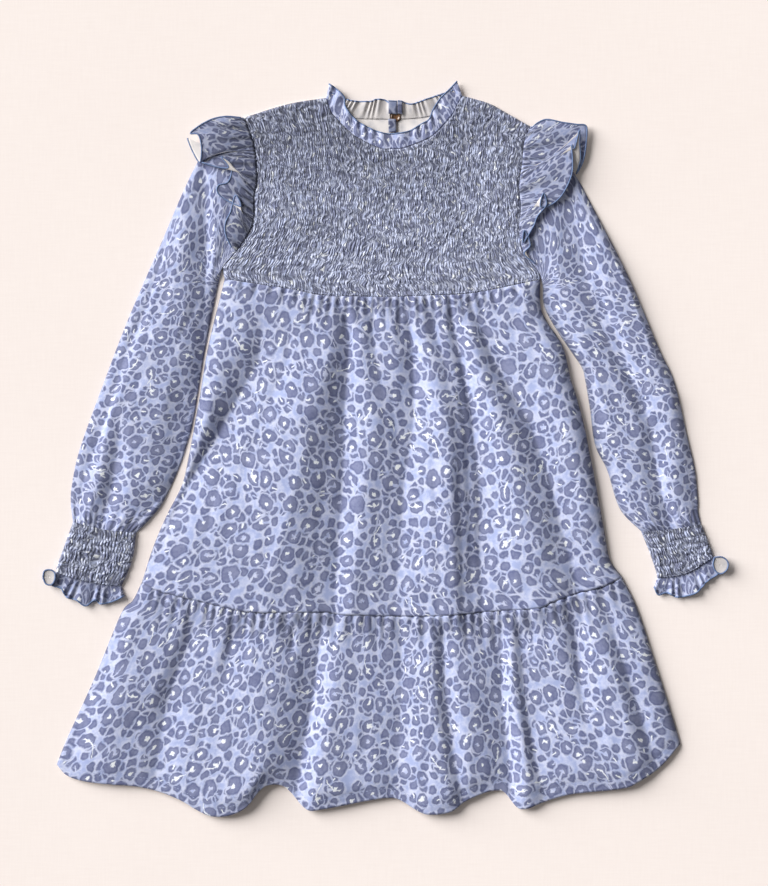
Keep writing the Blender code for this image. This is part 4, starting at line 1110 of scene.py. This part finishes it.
def bodice_front():
    columns = np.linspace(0.0, 1.0, COLUMNS_A_RIB * BODICE_RIBS + 1)
    down = np.linspace(0.0, 1.0, BODICE_ROWS)
    left = side_points(ARMHOLE_LEFT, WAIST[0], down)
    right = side_points(ARMHOLE_RIGHT, WAIST[-1], down)
    plan = patch(bodice_top_edge(columns), by_x(WAIST, columns), left, right, columns, down)
    y = plan[..., 1]
    across = np.broadcast_to(columns[None], y.shape)
    ribs, flat = smocking(across, y, BODICE_RIBS, SHIRRING_SPACING, 3)
    swell = soft_noise(plan[..., 0], y, 22.0, 5) * 0.35
    rim = rounded(np.minimum(side_distance(plan), 4.0), 4.0)
    rim = rim * rounded(np.minimum(plan[:1, :, 1] - y, 3.0), 3.0)
    height = RIM_TOP + rim * (BODICE_TOP - RIM_TOP + swell) + ribs * RIB_HEIGHT * (0.4 + 0.6 * rim)
    rows, count = height.shape
    top = lifted(plan, height).reshape(-1, 3)
    outline = list(range(count))
    outline += [row * count + count - 1 for row in range(1, rows)]
    outline += [(rows - 1) * count + column for column in range(count - 2, -1, -1)]
    outline += [row * count for row in range(rows - 2, 0, -1)]
    lower = top[outline].copy()
    lower[:, 2] = BACK_TOP + 0.1
    first = len(top)
    faces = grid_quads(rows, count)
    flags = [0] * len(faces)
    for place, corner in enumerate(outline):
        after = (place + 1) % len(outline)
        faces.append((corner, outline[after], first + after, first + place))
        flags.append(0)
    faces.append(tuple(first + place for place in range(len(outline))))
    flags.append(1)
    uv = np.dstack([flat * CLOTH_A_RIB, y + soft_noise(flat, np.zeros_like(y), 1.0, 9) * 3.0])
    lower_uv = uv.reshape(-1, 2)[outline]
    uv = np.vstack([uv.reshape(-1, 2), lower_uv])
    obj = new_piece("bodice_front_smocked", np.vstack([top, lower]), faces, uv, [SMOCKED, CREAM], flags)
    # Painted shade: in the grooves between the ribs, and more towards the top of the bodice and towards its
    # left, with soft blotches.
    painted_top_shade = ramp(y, 215.0, 300.0) * (0.40 - 0.0022 * plan[..., 0])
    painted_top_shade = painted_top_shade + soft_noise(plan[..., 0], y, 34.0, 15) * 0.16
    mark_painted_shade(obj, np.concatenate([(rib_painted_shade(ribs) + painted_top_shade).ravel(), np.zeros(len(outline))]))
    finished(obj, ["bodice_front"])
    seam = lifted(plan, height)[-1]
    seam = seam[2::2] + (0.0, 1.6, -0.15)
    obj = stitches("bodice_seam_stitches", seam, 2.0, 1.0, 0.7, STITCH)
    return obj


def skirt_front():
    columns = np.linspace(0.0, 1.0, SKIRT_COLUMNS)
    down = np.linspace(0.0, 1.0, SKIRT_ROWS) ** 1.12
    top = by_x(WAIST, columns)
    bottom = by_x(TIER_SEAM, columns)
    plan = patch(top, bottom, by_length(SKIRT_LEFT, down), by_length(SKIRT_RIGHT, down), columns, down)
    x, y = plan[..., 0], plan[..., 1]
    below = top[None, :, 1] - y
    above = y - bottom[None, :, 1]
    height = crest_lines(plan, SKIRT_LINES, SKIRT_FOLD_DEPTH) + line_folds(plan, SKIRT_CREASES) * 0.5
    gathered = pleats(x, below, WAIST_PLEATS, 1.4, 1.8)
    height += gathered
    height += soft_noise(x, y, 26.0, 11) * 0.45 + soft_noise(x + 0.4 * y, y, 11.0, 12) * 0.22
    height += soft_noise(x * 1.6, y * 0.35, 14.0, 13) * 0.3
    height -= 0.3 * np.exp(-((above / 1.3) ** 2))
    height *= 1 - 0.25 * np.exp(-((below / 2.0) ** 2))
    height = RIM_TOP + rounded(side_distance(plan), RIM_REACH) * np.maximum(height, 0.25)
    points = lifted(plan, height)
    width = SKIRT_CLOTH_TOP + (SKIRT_CLOTH_LOW - SKIRT_CLOTH_TOP) * ramp(below / SKIRT_LENGTH, 0.0, 1.0)
    uv = np.dstack([(columns[None] - 0.5) * width, y + 0.02 * x])
    obj = cloth("skirt_front_cloth", points, uv, [PRINT, CREAM], ["skirt_front"])
    # Painted shade in the pleats under the waist and along the rounded side rims.
    mark_painted_shade(obj, np.clip(-gathered, 0.0, 1.2) * 0.5 + rim_painted_shade(side_distance(plan), RIM_REACH))
    return points


def tier_front():
    columns = np.linspace(0.0, 1.0, TIER_COLUMNS)
    down = np.linspace(0.0, 1.0, TIER_ROWS)
    top = by_x(TIER_SEAM, columns)
    hem = by_x(HEM, columns)
    plan = patch(top, hem, by_length(TIER_LEFT, down), by_length(TIER_RIGHT, down), columns, down)
    x, y = plan[..., 0], plan[..., 1]
    below = top[None, :, 1] - y
    steps = np.linalg.norm(np.diff(plan[::-1], axis=0, prepend=plan[-1:]), axis=2)
    above = np.cumsum(steps, axis=0)[::-1]
    random = np.random.default_rng(41)
    places = np.arange(-214.0, 212.0, 7.4)
    places = places + random.uniform(-2.6, 2.6, len(places))
    lengths = random.uniform(10.0, 46.0, len(places))
    drifts = places * 0.0011 * lengths + random.uniform(-1.5, 1.5, len(places))
    seam_height = crest_lines(np.broadcast_to(top[None], plan.shape), SKIRT_LINES, SKIRT_FOLD_DEPTH)
    height = crest_lines(plan, TIER_LINES) + line_folds(plan, TIER_CREASES)
    height = seam_height + (height - seam_height) * ramp(below, 0.0, 26.0)
    gathered = pleats(x, below, tuple(zip(places, lengths, drifts, strict=True)), 1.2, 1.7)
    height += gathered
    height += soft_noise(x, y, 24.0, 21) * 0.45 + soft_noise(x * 1.5, y * 0.5, 12.0, 22) * 0.3
    height -= 0.3 * np.exp(-((below / 1.3) ** 2))
    height *= 1 - 0.5 * np.exp(-((above / 11.0) ** 2))
    pucker = 0.5 + 0.5 * np.sin(x * 1.05 + 2.0 * soft_noise(x, y, 9.0, 23))
    height += 0.35 * ramp(-above, -10.0, -8.2) * (1 - 0.3 * pucker)
    height -= (0.25 + 0.25 * pucker) * np.exp(-(((above - HEM_DEPTH) / 0.9) ** 2))
    height = RIM_TOP + rounded(side_distance(plan), RIM_REACH) * np.maximum(height, 0.2)
    points = lifted(plan, height)
    uv = np.dstack([np.broadcast_to((columns[None] - 0.5) * TIER_CLOTH, x.shape), y])
    obj = cloth("tier_front_cloth", points, uv, [PRINT, CREAM], ["tier_front"])
    # Painted shade in the pleats under the tier seam and along the rounded side rims.
    mark_painted_shade(obj, np.clip(-gathered, 0.0, 1.2) * 0.45 + rim_painted_shade(side_distance(plan), RIM_REACH))
    stitches("hem_stitches", up_from_end(points, HEM_DEPTH)[3:-3], 2.2, 1.1, 0.6, STITCH)
    return points


def back_panel(name, edges, columns, rows, node):
    """A back panel, flat on the surface, a little inside the front panel at its sides."""
    across = np.linspace(0.0, 1.0, columns)
    down = np.linspace(0.0, 1.0, rows)
    top, bottom, left, right, lift = edges
    sides = by_length(left, down), by_length(right, down)
    plan = patch(by_x(top, across), by_x(bottom, across), *sides, across, down)
    plan[..., 0] += BACK_INSET * (1 - 2 * across[None])
    plan[-1, :, 1] += lift
    x, y = plan[..., 0], plan[..., 1]
    height = BACK_TOP + 0.12 * soft_noise(x, y, 20.0, 31)
    uv = np.dstack([x + 500.0, y])
    points = lifted(plan, height)
    obj = cloth(name, points, uv, [CREAM, PRINT], [node], wall=0.6)
    return obj


def keyhole_points():
    """The notch for the button and the slit below it, from right to left."""
    centre = np.array(BUTTON_CENTRE)
    reach = 4.9
    right = SLIT_X + 0.6
    left = SLIT_X - 0.6

    def arc(places):
        return [(x, centre[1] - np.sqrt(reach**2 - (x - centre[0]) ** 2)) for x in places]

    right_arc = arc(np.linspace(14.0, right, 6)[1:])
    left_arc = arc(np.linspace(left, 5.6, 7)[:-1])
    slit = [(right, SLIT_END_Y), (SLIT_X, SLIT_END_Y - 0.6), (left, SLIT_END_Y)]
    return np.array(right_arc + slit + left_arc)


def bodice_back():
    places = np.linspace(0.0, 1.0, 40)
    outline = np.vstack(
        [
            side_points(ARMHOLE_LEFT, WAIST[0], places),
            by_x(WAIST, places)[1:-1],
            side_points(ARMHOLE_RIGHT, WAIST[-1], places)[::-1],
            by_length(SHOULDER_RIGHT, places)[::-1][1:],
            by_length(NECK_BACK_RIGHT, places)[::-1][1:],
            keyhole_points(),
            by_length(NECK_BACK_LEFT, places)[::-1],
            by_length(SHOULDER_LEFT, places)[::-1][1:-1],
        ]
    )
    vertices = np.column_stack([outline, np.full(len(outline), BACK_TOP)])
    faces = [tuple(range(len(outline)))]
    obj = new_piece("bodice_back_cloth", vertices, faces, outline + (700.0, 0.0), [SHADED_CREAM, PRINT])
    thick(obj, 0.7)
    finished(obj, ["bodice_back"])


def sleeve_plan(armhole, outer, inner, cuff_top, across, head_rows, arm_rows):
    """The sleeve from the armhole to a line across the underarm, and on to the cuff."""
    outer_end = by_length(outer, [UNDERARM_OUTER])
    inner_end = by_length(inner, [UNDERARM_INNER])
    underarm = inner_end + (outer_end - inner_end) * (1 - across[:, None]) ** UNDERARM_SPREAD
    head = np.linspace(0.0, 1.0, head_rows)
    arm = np.linspace(0.0, 1.0, arm_rows)
    upper = patch(
        by_length(armhole, across), underarm,
        by_length(outer, head * UNDERARM_OUTER), by_length(inner, head * UNDERARM_INNER), across, head,
    )
    lower = patch(
        underarm, by_length(cuff_top, across),
        by_length(outer, UNDERARM_OUTER + arm * (1 - UNDERARM_OUTER)),
        by_length(inner, UNDERARM_INNER + arm * (1 - UNDERARM_INNER)), across, arm,
    )
    return np.vstack([upper, lower[1:]])


def edge_spaced(count):
    """Fractions from 0 to 1, closer together at both ends."""
    t = np.linspace(0.0, 1.0, count)
    return 0.35 * t + 0.65 * (0.5 - 0.5 * np.cos(np.pi * t))


def flat_tube(name, plan, top, width, nodes, materials, low=0.0, under=14, stretch=1.0, start=0.0):
    """A flattened tube: its upper side from these heights and its underside flat."""
    rows, count = top.shape
    back = np.linspace(1.0, 0.0, under)
    columns = np.linspace(0.0, 1.0, count)
    sections = []
    for row in range(rows):
        places = np.column_stack([np.interp(back, columns, plan[row, :, axis]) for axis in (0, 1)])
        sections.append(
            np.vstack(
                [
                    np.column_stack([plan[row], top[row]]),
                    np.column_stack([places, np.full(under, low)])[1:-1],
                    np.append(plan[row, 0], top[row, 0])[None],
                ]
            )
        )
    points = np.array(sections)
    along = distances(plan[:, count // 2]) * stretch + start
    reach = np.linalg.norm(np.diff(points[..., :2], axis=1), axis=2)
    reach = np.hstack([np.zeros((rows, 1)), np.cumsum(reach, axis=1)])
    reach = reach / reach[:, count - 1 : count] * np.asarray(width).reshape(-1, 1)
    uv = np.dstack([reach, np.repeat(-along[:, None], points.shape[1], axis=1)])
    flip = facing_down(points[:, :count])
    obj = new_piece(name, points, grid_quads(rows, points.shape[1], flip), uv, materials)
    return finished(obj, nodes), points


def sleeve(side, armhole, outer, inner, cuff_top, lines, creases, seed):
    across = edge_spaced(71)
    plan = sleeve_plan(armhole, outer, inner, cuff_top, across, 52, 112)
    x, y = plan[..., 0], plan[..., 1]
    edge, width = tube_edges(plan, across)
    start = np.linalg.norm(plan - plan[:1], axis=2)
    stop = np.linalg.norm(plan - plan[-1:], axis=2)
    crown = crest_lines(plan, lines) + line_folds(plan, creases)
    crown += soft_noise(x, y, 22.0, seed) * 0.7 + soft_noise(x * 1.3, y * 0.6, 10.0, seed + 1) * 0.35
    random = np.random.default_rng(seed)
    gather = np.zeros(x.shape)
    for centre in np.arange(0.06, 0.97, 0.075):
        place = centre + random.uniform(-0.02, 0.02)
        length = random.uniform(12.0, 34.0)
        lean = random.uniform(-0.03, 0.03)
        offset = across[None] - place - lean * stop / length
        gather -= 1.2 * (1 - ramp(stop / length, 0.1, 1.1)) * np.exp(-((offset / 0.022) ** 2))
    crown += gather
    crown *= 1 - 0.35 * np.exp(-((stop / 3.0) ** 2))
    height = TUBE_BOTTOM + rounded(edge, 9.0) * np.maximum(crown, 0.4)
    height = np.minimum(height, SLEEVE_TOP)
    limit = 3.4 + 4.0 * ramp(start / 60.0, 0.3, 1.0)
    height = np.minimum(height, limit)
    tube_width = np.maximum(width * 1.03, 88.0) * SLEEVE_CLOTH
    obj, points = flat_tube(
        "sleeve_" + side + "_cloth", plan, height, tube_width, ["sleeve_" + side], [PRINT],
        stretch=1.2, start=seed * 37.0,
    )
    # Painted shade along the sleeve's rounded rims.
    painted_shade = np.zeros(points.shape[:2])
    painted_shade[:, : len(across)] = rim_painted_shade(edge, 12.0)
    mark_painted_shade(obj, painted_shade)
    return points


def repaint(obj, u, count, around):
    """Gives the upper side of a tube its own places across the flat cloth."""
    values = np.empty(2 * len(obj.data.loops))
    layer = obj.data.uv_layers["cloth"]
    layer.data.foreach_get("uv", values)
    values = values.reshape(-1, 2)
    corners = np.empty(len(obj.data.loops), dtype=int)
    obj.data.loops.foreach_get("vertex_index", corners)
    row, column = np.divmod(corners, around)
    upper = column < count
    values[upper, 0] = u[row[upper], column[upper]] * MM
    layer.data.foreach_set("uv", values.ravel())


def cuff(side, top_edge, end_edge, outer, inner, seed):
    across = np.linspace(0.0, 1.0, CUFF_COLUMNS_A_RIB * CUFF_RIBS + 1)
    down = np.linspace(0.0, 1.0, 34)
    sides = by_length(outer, down), by_length(inner, down)
    plan = patch(by_length(top_edge, across), by_length(end_edge, across), *sides, across, down)
    edge, _ = tube_edges(plan, across)
    along = np.broadcast_to(down[:, None] * CUFF_LENGTH, edge.shape)
    places = np.broadcast_to(across[None], edge.shape)
    lines, flat = smocking(places, along, CUFF_RIBS, CUFF_SHIRRING, seed)
    swell = soft_noise(plan[..., 0], plan[..., 1], 14.0, seed)
    height = TUBE_BOTTOM + rounded(edge, 5.0) * (2.9 + 0.3 * swell)
    height += lines * 2.0 * rounded(edge, 3.0)
    obj, points = flat_tube(
        "cuff_" + side + "_smocked", plan, height, CUFF_CLOTH, ["cuff_" + side], [SMOCKED],
        start=seed * 31.0,
    )
    around = points.shape[1]
    # Painted shade in the grooves between the ribs, and a little over the whole cuff.
    painted_shade = np.zeros((len(down), around))
    painted_shade[:, : len(across)] = rib_painted_shade(lines) * 1.15 + 0.12
    mark_painted_shade(obj, painted_shade)
    repaint(obj, flat * CLOTH_A_RIB, len(across), around)
    return points


def cuff_frill(side, start_edge, free_edge):
    across = np.linspace(0.0, 1.0, 141)
    down = np.linspace(0.0, 1.0, 16)
    start = by_length(start_edge, across)
    free = by_length(free_edge, across)
    plan = ruled(start, free, across, down)
    edge, _ = tube_edges(plan, across)
    waves = gathers(across, 7, 0.35)[None] * ramp(down, -0.1, 0.9)[:, None]
    height = 0.6 + rounded(edge, 3.0) * (1.6 + 2.6 * waves)
    node = "cuff_frill_" + side
    obj, points = flat_tube(node + "_cloth", plan, height, CUFF_FRILL_CLOTH, [node], [PRINT])
    count = len(across)
    # Painted shade: more on the left frill than on the right, and less on the tops of its waves.
    painted_shade = np.zeros(points.shape[:2])
    painted_shade[:, :count] = (0.65 if side == "left" else 0.25) * (1 - 0.6 * waves)
    mark_painted_shade(obj, painted_shade)
    rolled = tube_along(node + "_edge", points[-1, :count] + (0, 0, 0.1), 0.75, EDGE)
    under = points[-1, count - 1 :] + (0.0, 0.0, 0.55)
    lower = tube_along(node + "_under_edge", under, 0.55, EDGE)
    return points


def curl(side, outline, level):
    """The outer end of a cuff frill, which curls over and shows its wrong side inside its edge."""
    ring = smooth_curve([at_pixel(*point) for point in outline], 6)
    middle = ring[:-1].mean(axis=0)
    out = np.linspace(0.0, 1.0, 6)[:, None, None]
    plan = middle + (ring - middle)[None] * out
    height = np.broadcast_to(level - 0.5 * np.cos(np.pi / 2 * out[..., 0]), plan.shape[:2])
    points = lifted(plan, height)
    name = "cuff_frill_" + side + "_curl"
    obj = cloth(name, points, plan, [SHADED_CREAM, PRINT], ["cuff_frill_" + side], wall=0.4)
    edge = tube_along(name + "_edge", points[-1], 0.75, EDGE)


def strip(name, seam, edge, waves, wave_height, level, materials, node, columns):
    """A gathered frill from its seam to its free edge, with a rolled edge of thread."""
    across = np.linspace(0.0, 1.0, columns)
    down = np.linspace(0.0, 1.0, 14)
    start = by_length(seam, across)
    free = by_length(edge, across)
    plan = ruled(start, free, across, down)
    height = gathers(across, waves, 0.4)[None] * ramp(down, -0.2, 0.9)[:, None] * wave_height
    points = lifted(plan, level + height)
    length = np.linalg.norm(np.diff(start, axis=0), axis=1).sum()
    depth = np.linalg.norm(free - start, axis=1).mean()
    u = np.broadcast_to(across[None] * length * 1.7, height.shape)
    v = np.broadcast_to(down[:, None] * depth, height.shape)
    uv = np.dstack([u, v + level * 17.0])
    obj = cloth(name + "_cloth", points, uv, materials, [node], wall=0.4)
    rolled = tube_along(name + "_edge", points[-1] + (0.0, 0.0, -0.1), EDGE_RADIUS, EDGE)
    return points


def neck_frill():
    strip(
        "neck_frill_front", NECK_FRONT, NECK_FRILL_EDGE, 14, 1.6, 2.6, [PRINT, CREAM],
        "neck_frill_front", 281,
    )
    strip(
        "neck_frill_back_left", NECK_BACK_LEFT[:-1] + ((5.0, 303.0),), BACK_FRILL_LEFT_EDGE, 10, 1.9, 1.0,
        [SHADED_CREAM, PRINT], "neck_frill_back_left", 121,
    )
    strip(
        "neck_frill_back_right", ((15.2, 303.0),) + NECK_BACK_RIGHT[1:], BACK_FRILL_RIGHT_EDGE, 9, 1.9, 1.0,
        [SHADED_CREAM, PRINT], "neck_frill_back_right", 121,
    )


def small_panel(name, corners, height, material, node, bulge=0.5):
    """A little four-sided piece of cloth with soft edges."""
    across = np.linspace(0.0, 1.0, 13)
    corners = np.array(corners, dtype=float)
    top = corners[0] + (corners[1] - corners[0]) * across[:, None]
    bottom = corners[3] + (corners[2] - corners[3]) * across[:, None]
    plan = ruled(top, bottom, across, across)
    edge = np.minimum(across, 1 - across)
    lift = rounded(edge, 0.3)[None] * rounded(edge, 0.2)[:, None] * bulge
    tops = height + lift
    points = lifted(plan, tops)
    obj = cloth(name, points, plan + (40.0, 10.0), [material], [node], wall=0.6)
    # Painted shade over nearly the whole piece, a little less on its raised middle.
    mark_painted_shade(obj, np.full(points.shape[:2], 0.95) - 0.25 * lift)
    return points


def neck_opening():
    for side, left, right in (("left", 3.2, SLIT_X - 0.2), ("right", SLIT_X + 0.2, 16.0)):
        points = small_panel(
            "neck_frill_end_" + side + "_cloth",
            ((left, 320.0), (right, 319.6), (right, 307.6), (left, 308.2)),
            3.2, PRINT, "neck_frill_end_" + side,
        )
        tube_along("neck_frill_end_" + side + "_edge", points[0], 0.65, EDGE)
    small_panel(
        "keyhole_binding_cloth", ((2.9, 303.6), (10.4, 303.3), (10.4, 290.9), (3.4, 290.9)), 2.6, PRINT,
        "keyhole_binding",
    )


def back_button():
    """A small round button with a raised rim, turned about its own axis."""
    turns = np.linspace(0.0, 2 * np.pi, 33)
    points = np.array([[(r * np.cos(t), r * np.sin(t), z) for t in turns] for r, z in BUTTON_PROFILE])
    points[..., 0] += BUTTON_CENTRE[0]
    points[..., 1] += BUTTON_CENTRE[1]
    uv = points[..., :2]
    obj = new_piece("back_button_turned", points, grid_quads(*points.shape[:2]), uv, [BUTTON])
    finished(obj, ["back_button"])


def evened(path, span):
    """The path with its folds smoothed out over this many points."""
    weights = np.hanning(span + 2)[1:-1]
    wide = np.pad(path, ((span // 2, span // 2), (0, 0)), mode="edge")
    return np.column_stack([np.convolve(column, weights / weights.sum(), "valid") for column in wide.T])


def ruffle(side, armhole, path, node):
    """A flounce from the armhole seam to its free edge. Where the edge turns back, the cloth folds
    over and shows its wrong side. Each row of the path has the place along the seam, the edge's
    place in the photograph and its height."""
    table = np.array(path, dtype=float)
    curve = smooth_curve(table, 15)
    seam = by_length(armhole, np.clip(curve[:, 0], 0.0, 1.0)) + (0.8 if side == "left" else -0.8, 0.0)
    free = np.column_stack([*at_pixel(curve[:, 1], curve[:, 2]), curve[:, 3]])
    down = np.linspace(0.0, 1.0, 26)[:, None, None]
    low = np.column_stack([seam, np.full(len(seam), RUFFLE_LOW)])
    folded = down**2.2
    points = low[None] * (1 - down) + (evened(free, 75)[None] * (1 - folded) + free[None] * folded) * down
    width = np.linalg.norm(free[:, :2] - seam, axis=1)
    puff = np.sin(np.pi * down[..., 0]) * np.clip(width / 30.0, 0.3, 1.0)[None]
    across = np.linspace(0.0, 1.0, len(curve))
    gathered = gathers(across, RUFFLE_GATHERS, 0.5)[None]
    points[..., 2] += puff * 1.4 + 0.5 * gathered * (1 - down[..., 0]) ** 2
    uv = np.dstack([np.broadcast_to(distances(free)[None], puff.shape), down[..., 0] * width[None]])
    obj = cloth(
        "shoulder_ruffle_" + side + "_cloth", points, uv, [PRINT, CREAM], [node], wall=0.4,
        flip=side == "right",
    )
    # Painted shade: the left ruffle much darker than the right, lighter towards the free edge, and darker
    # in the gathers near the seam.
    dark = 0.72 if side == "left" else 0.36
    pleat_shade = (1 - gathered) ** 3 * (1 - down[..., 0]) * 0.8
    mark_painted_shade(obj, np.minimum(dark * (1 - 0.45 * down[..., 0] ** 2) + pleat_shade, 1.2))
    rolled = tube_along("shoulder_ruffle_" + side + "_edge", points[-1], EDGE_RADIUS, EDGE)
    return points


def button_finish():
    material, tree = tree_of("button_brown")
    shader = tree.nodes["Principled BSDF"]
    place = cloth_place(tree)
    swirl = noise(tree, place, 260.0, 3.0, Distortion=1.5)
    amount = (swirl * 2.2 - 0.6).clamped()
    colour = mixed(tree, (0.055, 0.022, 0.010), (0.20, 0.10, 0.045), amount)
    tree.links.new(colour.output, shader.inputs["Base Color"])
    shader.inputs["Roughness"].default_value = 0.28
    shader.inputs["Coat Weight"].default_value = 0.4
    return material


BUTTON = button_finish()
# The print again for the smocked cloth; the last value sets how strongly its painted shade darkens it.
SMOCKED = printed_cloth(
    "smocked_print", ground=(0.46, 0.52, 0.75), bright=(0.68, 0.725, 0.91), ink=(0.28, 0.30, 0.44),
    deep=(0.165, 0.185, 0.30), painted_shade=0.5,
)

bodice_back()
back_panel(
    "skirt_back_cloth", (WAIST, TIER_SEAM, SKIRT_LEFT, SKIRT_RIGHT, 0.0), 60, 40,
    "skirt_back",
)
back_panel(
    "tier_back_cloth", (TIER_SEAM, HEM, TIER_LEFT, TIER_RIGHT, 3.0), 90, 24,
    "tier_back",
)
bodice_front()
skirt_front()
tier_front()
sleeve(
    "left", ARMHOLE_LEFT, SLEEVE_LEFT_OUTER, SLEEVE_LEFT_INNER, CUFF_LEFT_TOP,
    SLEEVE_LEFT_LINES, SLEEVE_LEFT_CREASES, 61,
)
sleeve(
    "right", ARMHOLE_RIGHT, SLEEVE_RIGHT_OUTER, SLEEVE_RIGHT_INNER, CUFF_RIGHT_TOP,
    SLEEVE_RIGHT_LINES, SLEEVE_RIGHT_CREASES, 71,
)
cuff("left", CUFF_LEFT_TOP, CUFF_LEFT_END, *CUFF_LEFT_SIDES, 81)
cuff("right", CUFF_RIGHT_TOP, CUFF_RIGHT_END, *CUFF_RIGHT_SIDES, 85)
cuff_frill("left", CUFF_LEFT_END, CUFF_FRILL_LEFT_EDGE)
cuff_frill("right", CUFF_RIGHT_END, CUFF_FRILL_RIGHT_EDGE)
curl("left", CURL_LEFT, 5.6)
curl("right", CURL_RIGHT, 5.6)
ruffle("left", ARMHOLE_LEFT, RUFFLE_LEFT_PATH, "shoulder_ruffle_left")
ruffle("right", ARMHOLE_RIGHT, RUFFLE_RIGHT_PATH, "shoulder_ruffle_right")
neck_frill()
neck_opening()
back_button()


FLOOR_REACH = 3.0  # metres, like the rest of the stage
FLOOR_LEVEL = -0.0002
CAMERA_HEIGHT = 3.0
SENSOR = 36.0
KEY_STRENGTH = 6.5
KEY_ANGLE = 0.8
KEY_COLOUR = (1.0, 0.99, 0.975)
KEY_DIRECTION = (0.80, -0.42, -0.42)
SKY_COLOUR = (1.0, 0.985, 0.97, 1.0)
SKY_STRENGTH = 0.20


def floor():
    """A pale linen surface, a hair under the dress."""
    mesh = bpy.data.meshes.new("floor")
    corners = [(-FLOOR_REACH, -FLOOR_REACH), (FLOOR_REACH, -FLOOR_REACH)]
    corners += [(FLOOR_REACH, FLOOR_REACH), (-FLOOR_REACH, FLOOR_REACH)]
    mesh.from_pydata([(*corner, FLOOR_LEVEL) for corner in corners], [], [(0, 1, 2, 3)])
    layer = mesh.uv_layers.new(name="cloth")
    layer.data.foreach_set("uv", np.array(corners).ravel())
    material, tree = tree_of("linen")
    shader = tree.nodes["Principled BSDF"]
    place = cloth_place(tree)
    warp = noise(tree, vector_op(tree, "MULTIPLY", place, (1.0, 0.06, 1.0)), 700.0, 2.0)
    weft = noise(tree, vector_op(tree, "MULTIPLY", place, (0.06, 1.0, 1.0)), 700.0, 2.0)
    cloud = noise(tree, place, 4.0, 2.0)
    weave = (warp + weft) * 0.5 + cloud * 0.35 - 0.18
    colour = mixed(tree, (0.87, 0.785, 0.75), (0.94, 0.86, 0.825), weave.clamped())
    tree.links.new(colour.output, shader.inputs["Base Color"])
    shader.inputs["Roughness"].default_value = 0.95
    mesh.materials.append(material)
    obj = bpy.data.objects.new("floor", mesh)
    bpy.context.scene.collection.objects.link(obj)


def studio():
    floor()
    sun = bpy.data.lights.new("key", "SUN")
    sun.energy = KEY_STRENGTH
    sun.angle = KEY_ANGLE
    sun.color = KEY_COLOUR
    lamp = bpy.data.objects.new("key", sun)
    lamp.rotation_mode = "QUATERNION"
    lamp.rotation_quaternion = Vector(KEY_DIRECTION).to_track_quat("-Z", "Y")
    bpy.context.scene.collection.objects.link(lamp)
    world = bpy.data.worlds.new("studio")
    bpy.context.scene.world = world
    world.use_nodes = True
    background = world.node_tree.nodes["Background"]
    background.inputs["Color"].default_value = SKY_COLOUR
    background.inputs["Strength"].default_value = SKY_STRENGTH
    bpy.context.scene.view_settings.view_transform = "Standard"


def camera():
    """Straight above, with the photograph's frame: 768 by 886 pixels of 0.92 mm."""
    data = bpy.data.cameras.new("camera")
    data.sensor_fit = "AUTO"
    data.sensor_width = SENSOR
    data.lens = SENSOR * CAMERA_HEIGHT / (PHOTO_HEIGHT * PX * MM)
    data.clip_end = 20.0
    obj = bpy.data.objects.new("camera", data)
    centre = np.array(at_pixel(PHOTO_WIDTH / 2, PHOTO_HEIGHT / 2)) - OUTLINE_CENTRE
    obj.location = (centre[0] * MM, centre[1] * MM, CAMERA_HEIGHT)
    bpy.context.scene.collection.objects.link(obj)
    bpy.context.scene.camera = obj


studio()
camera()
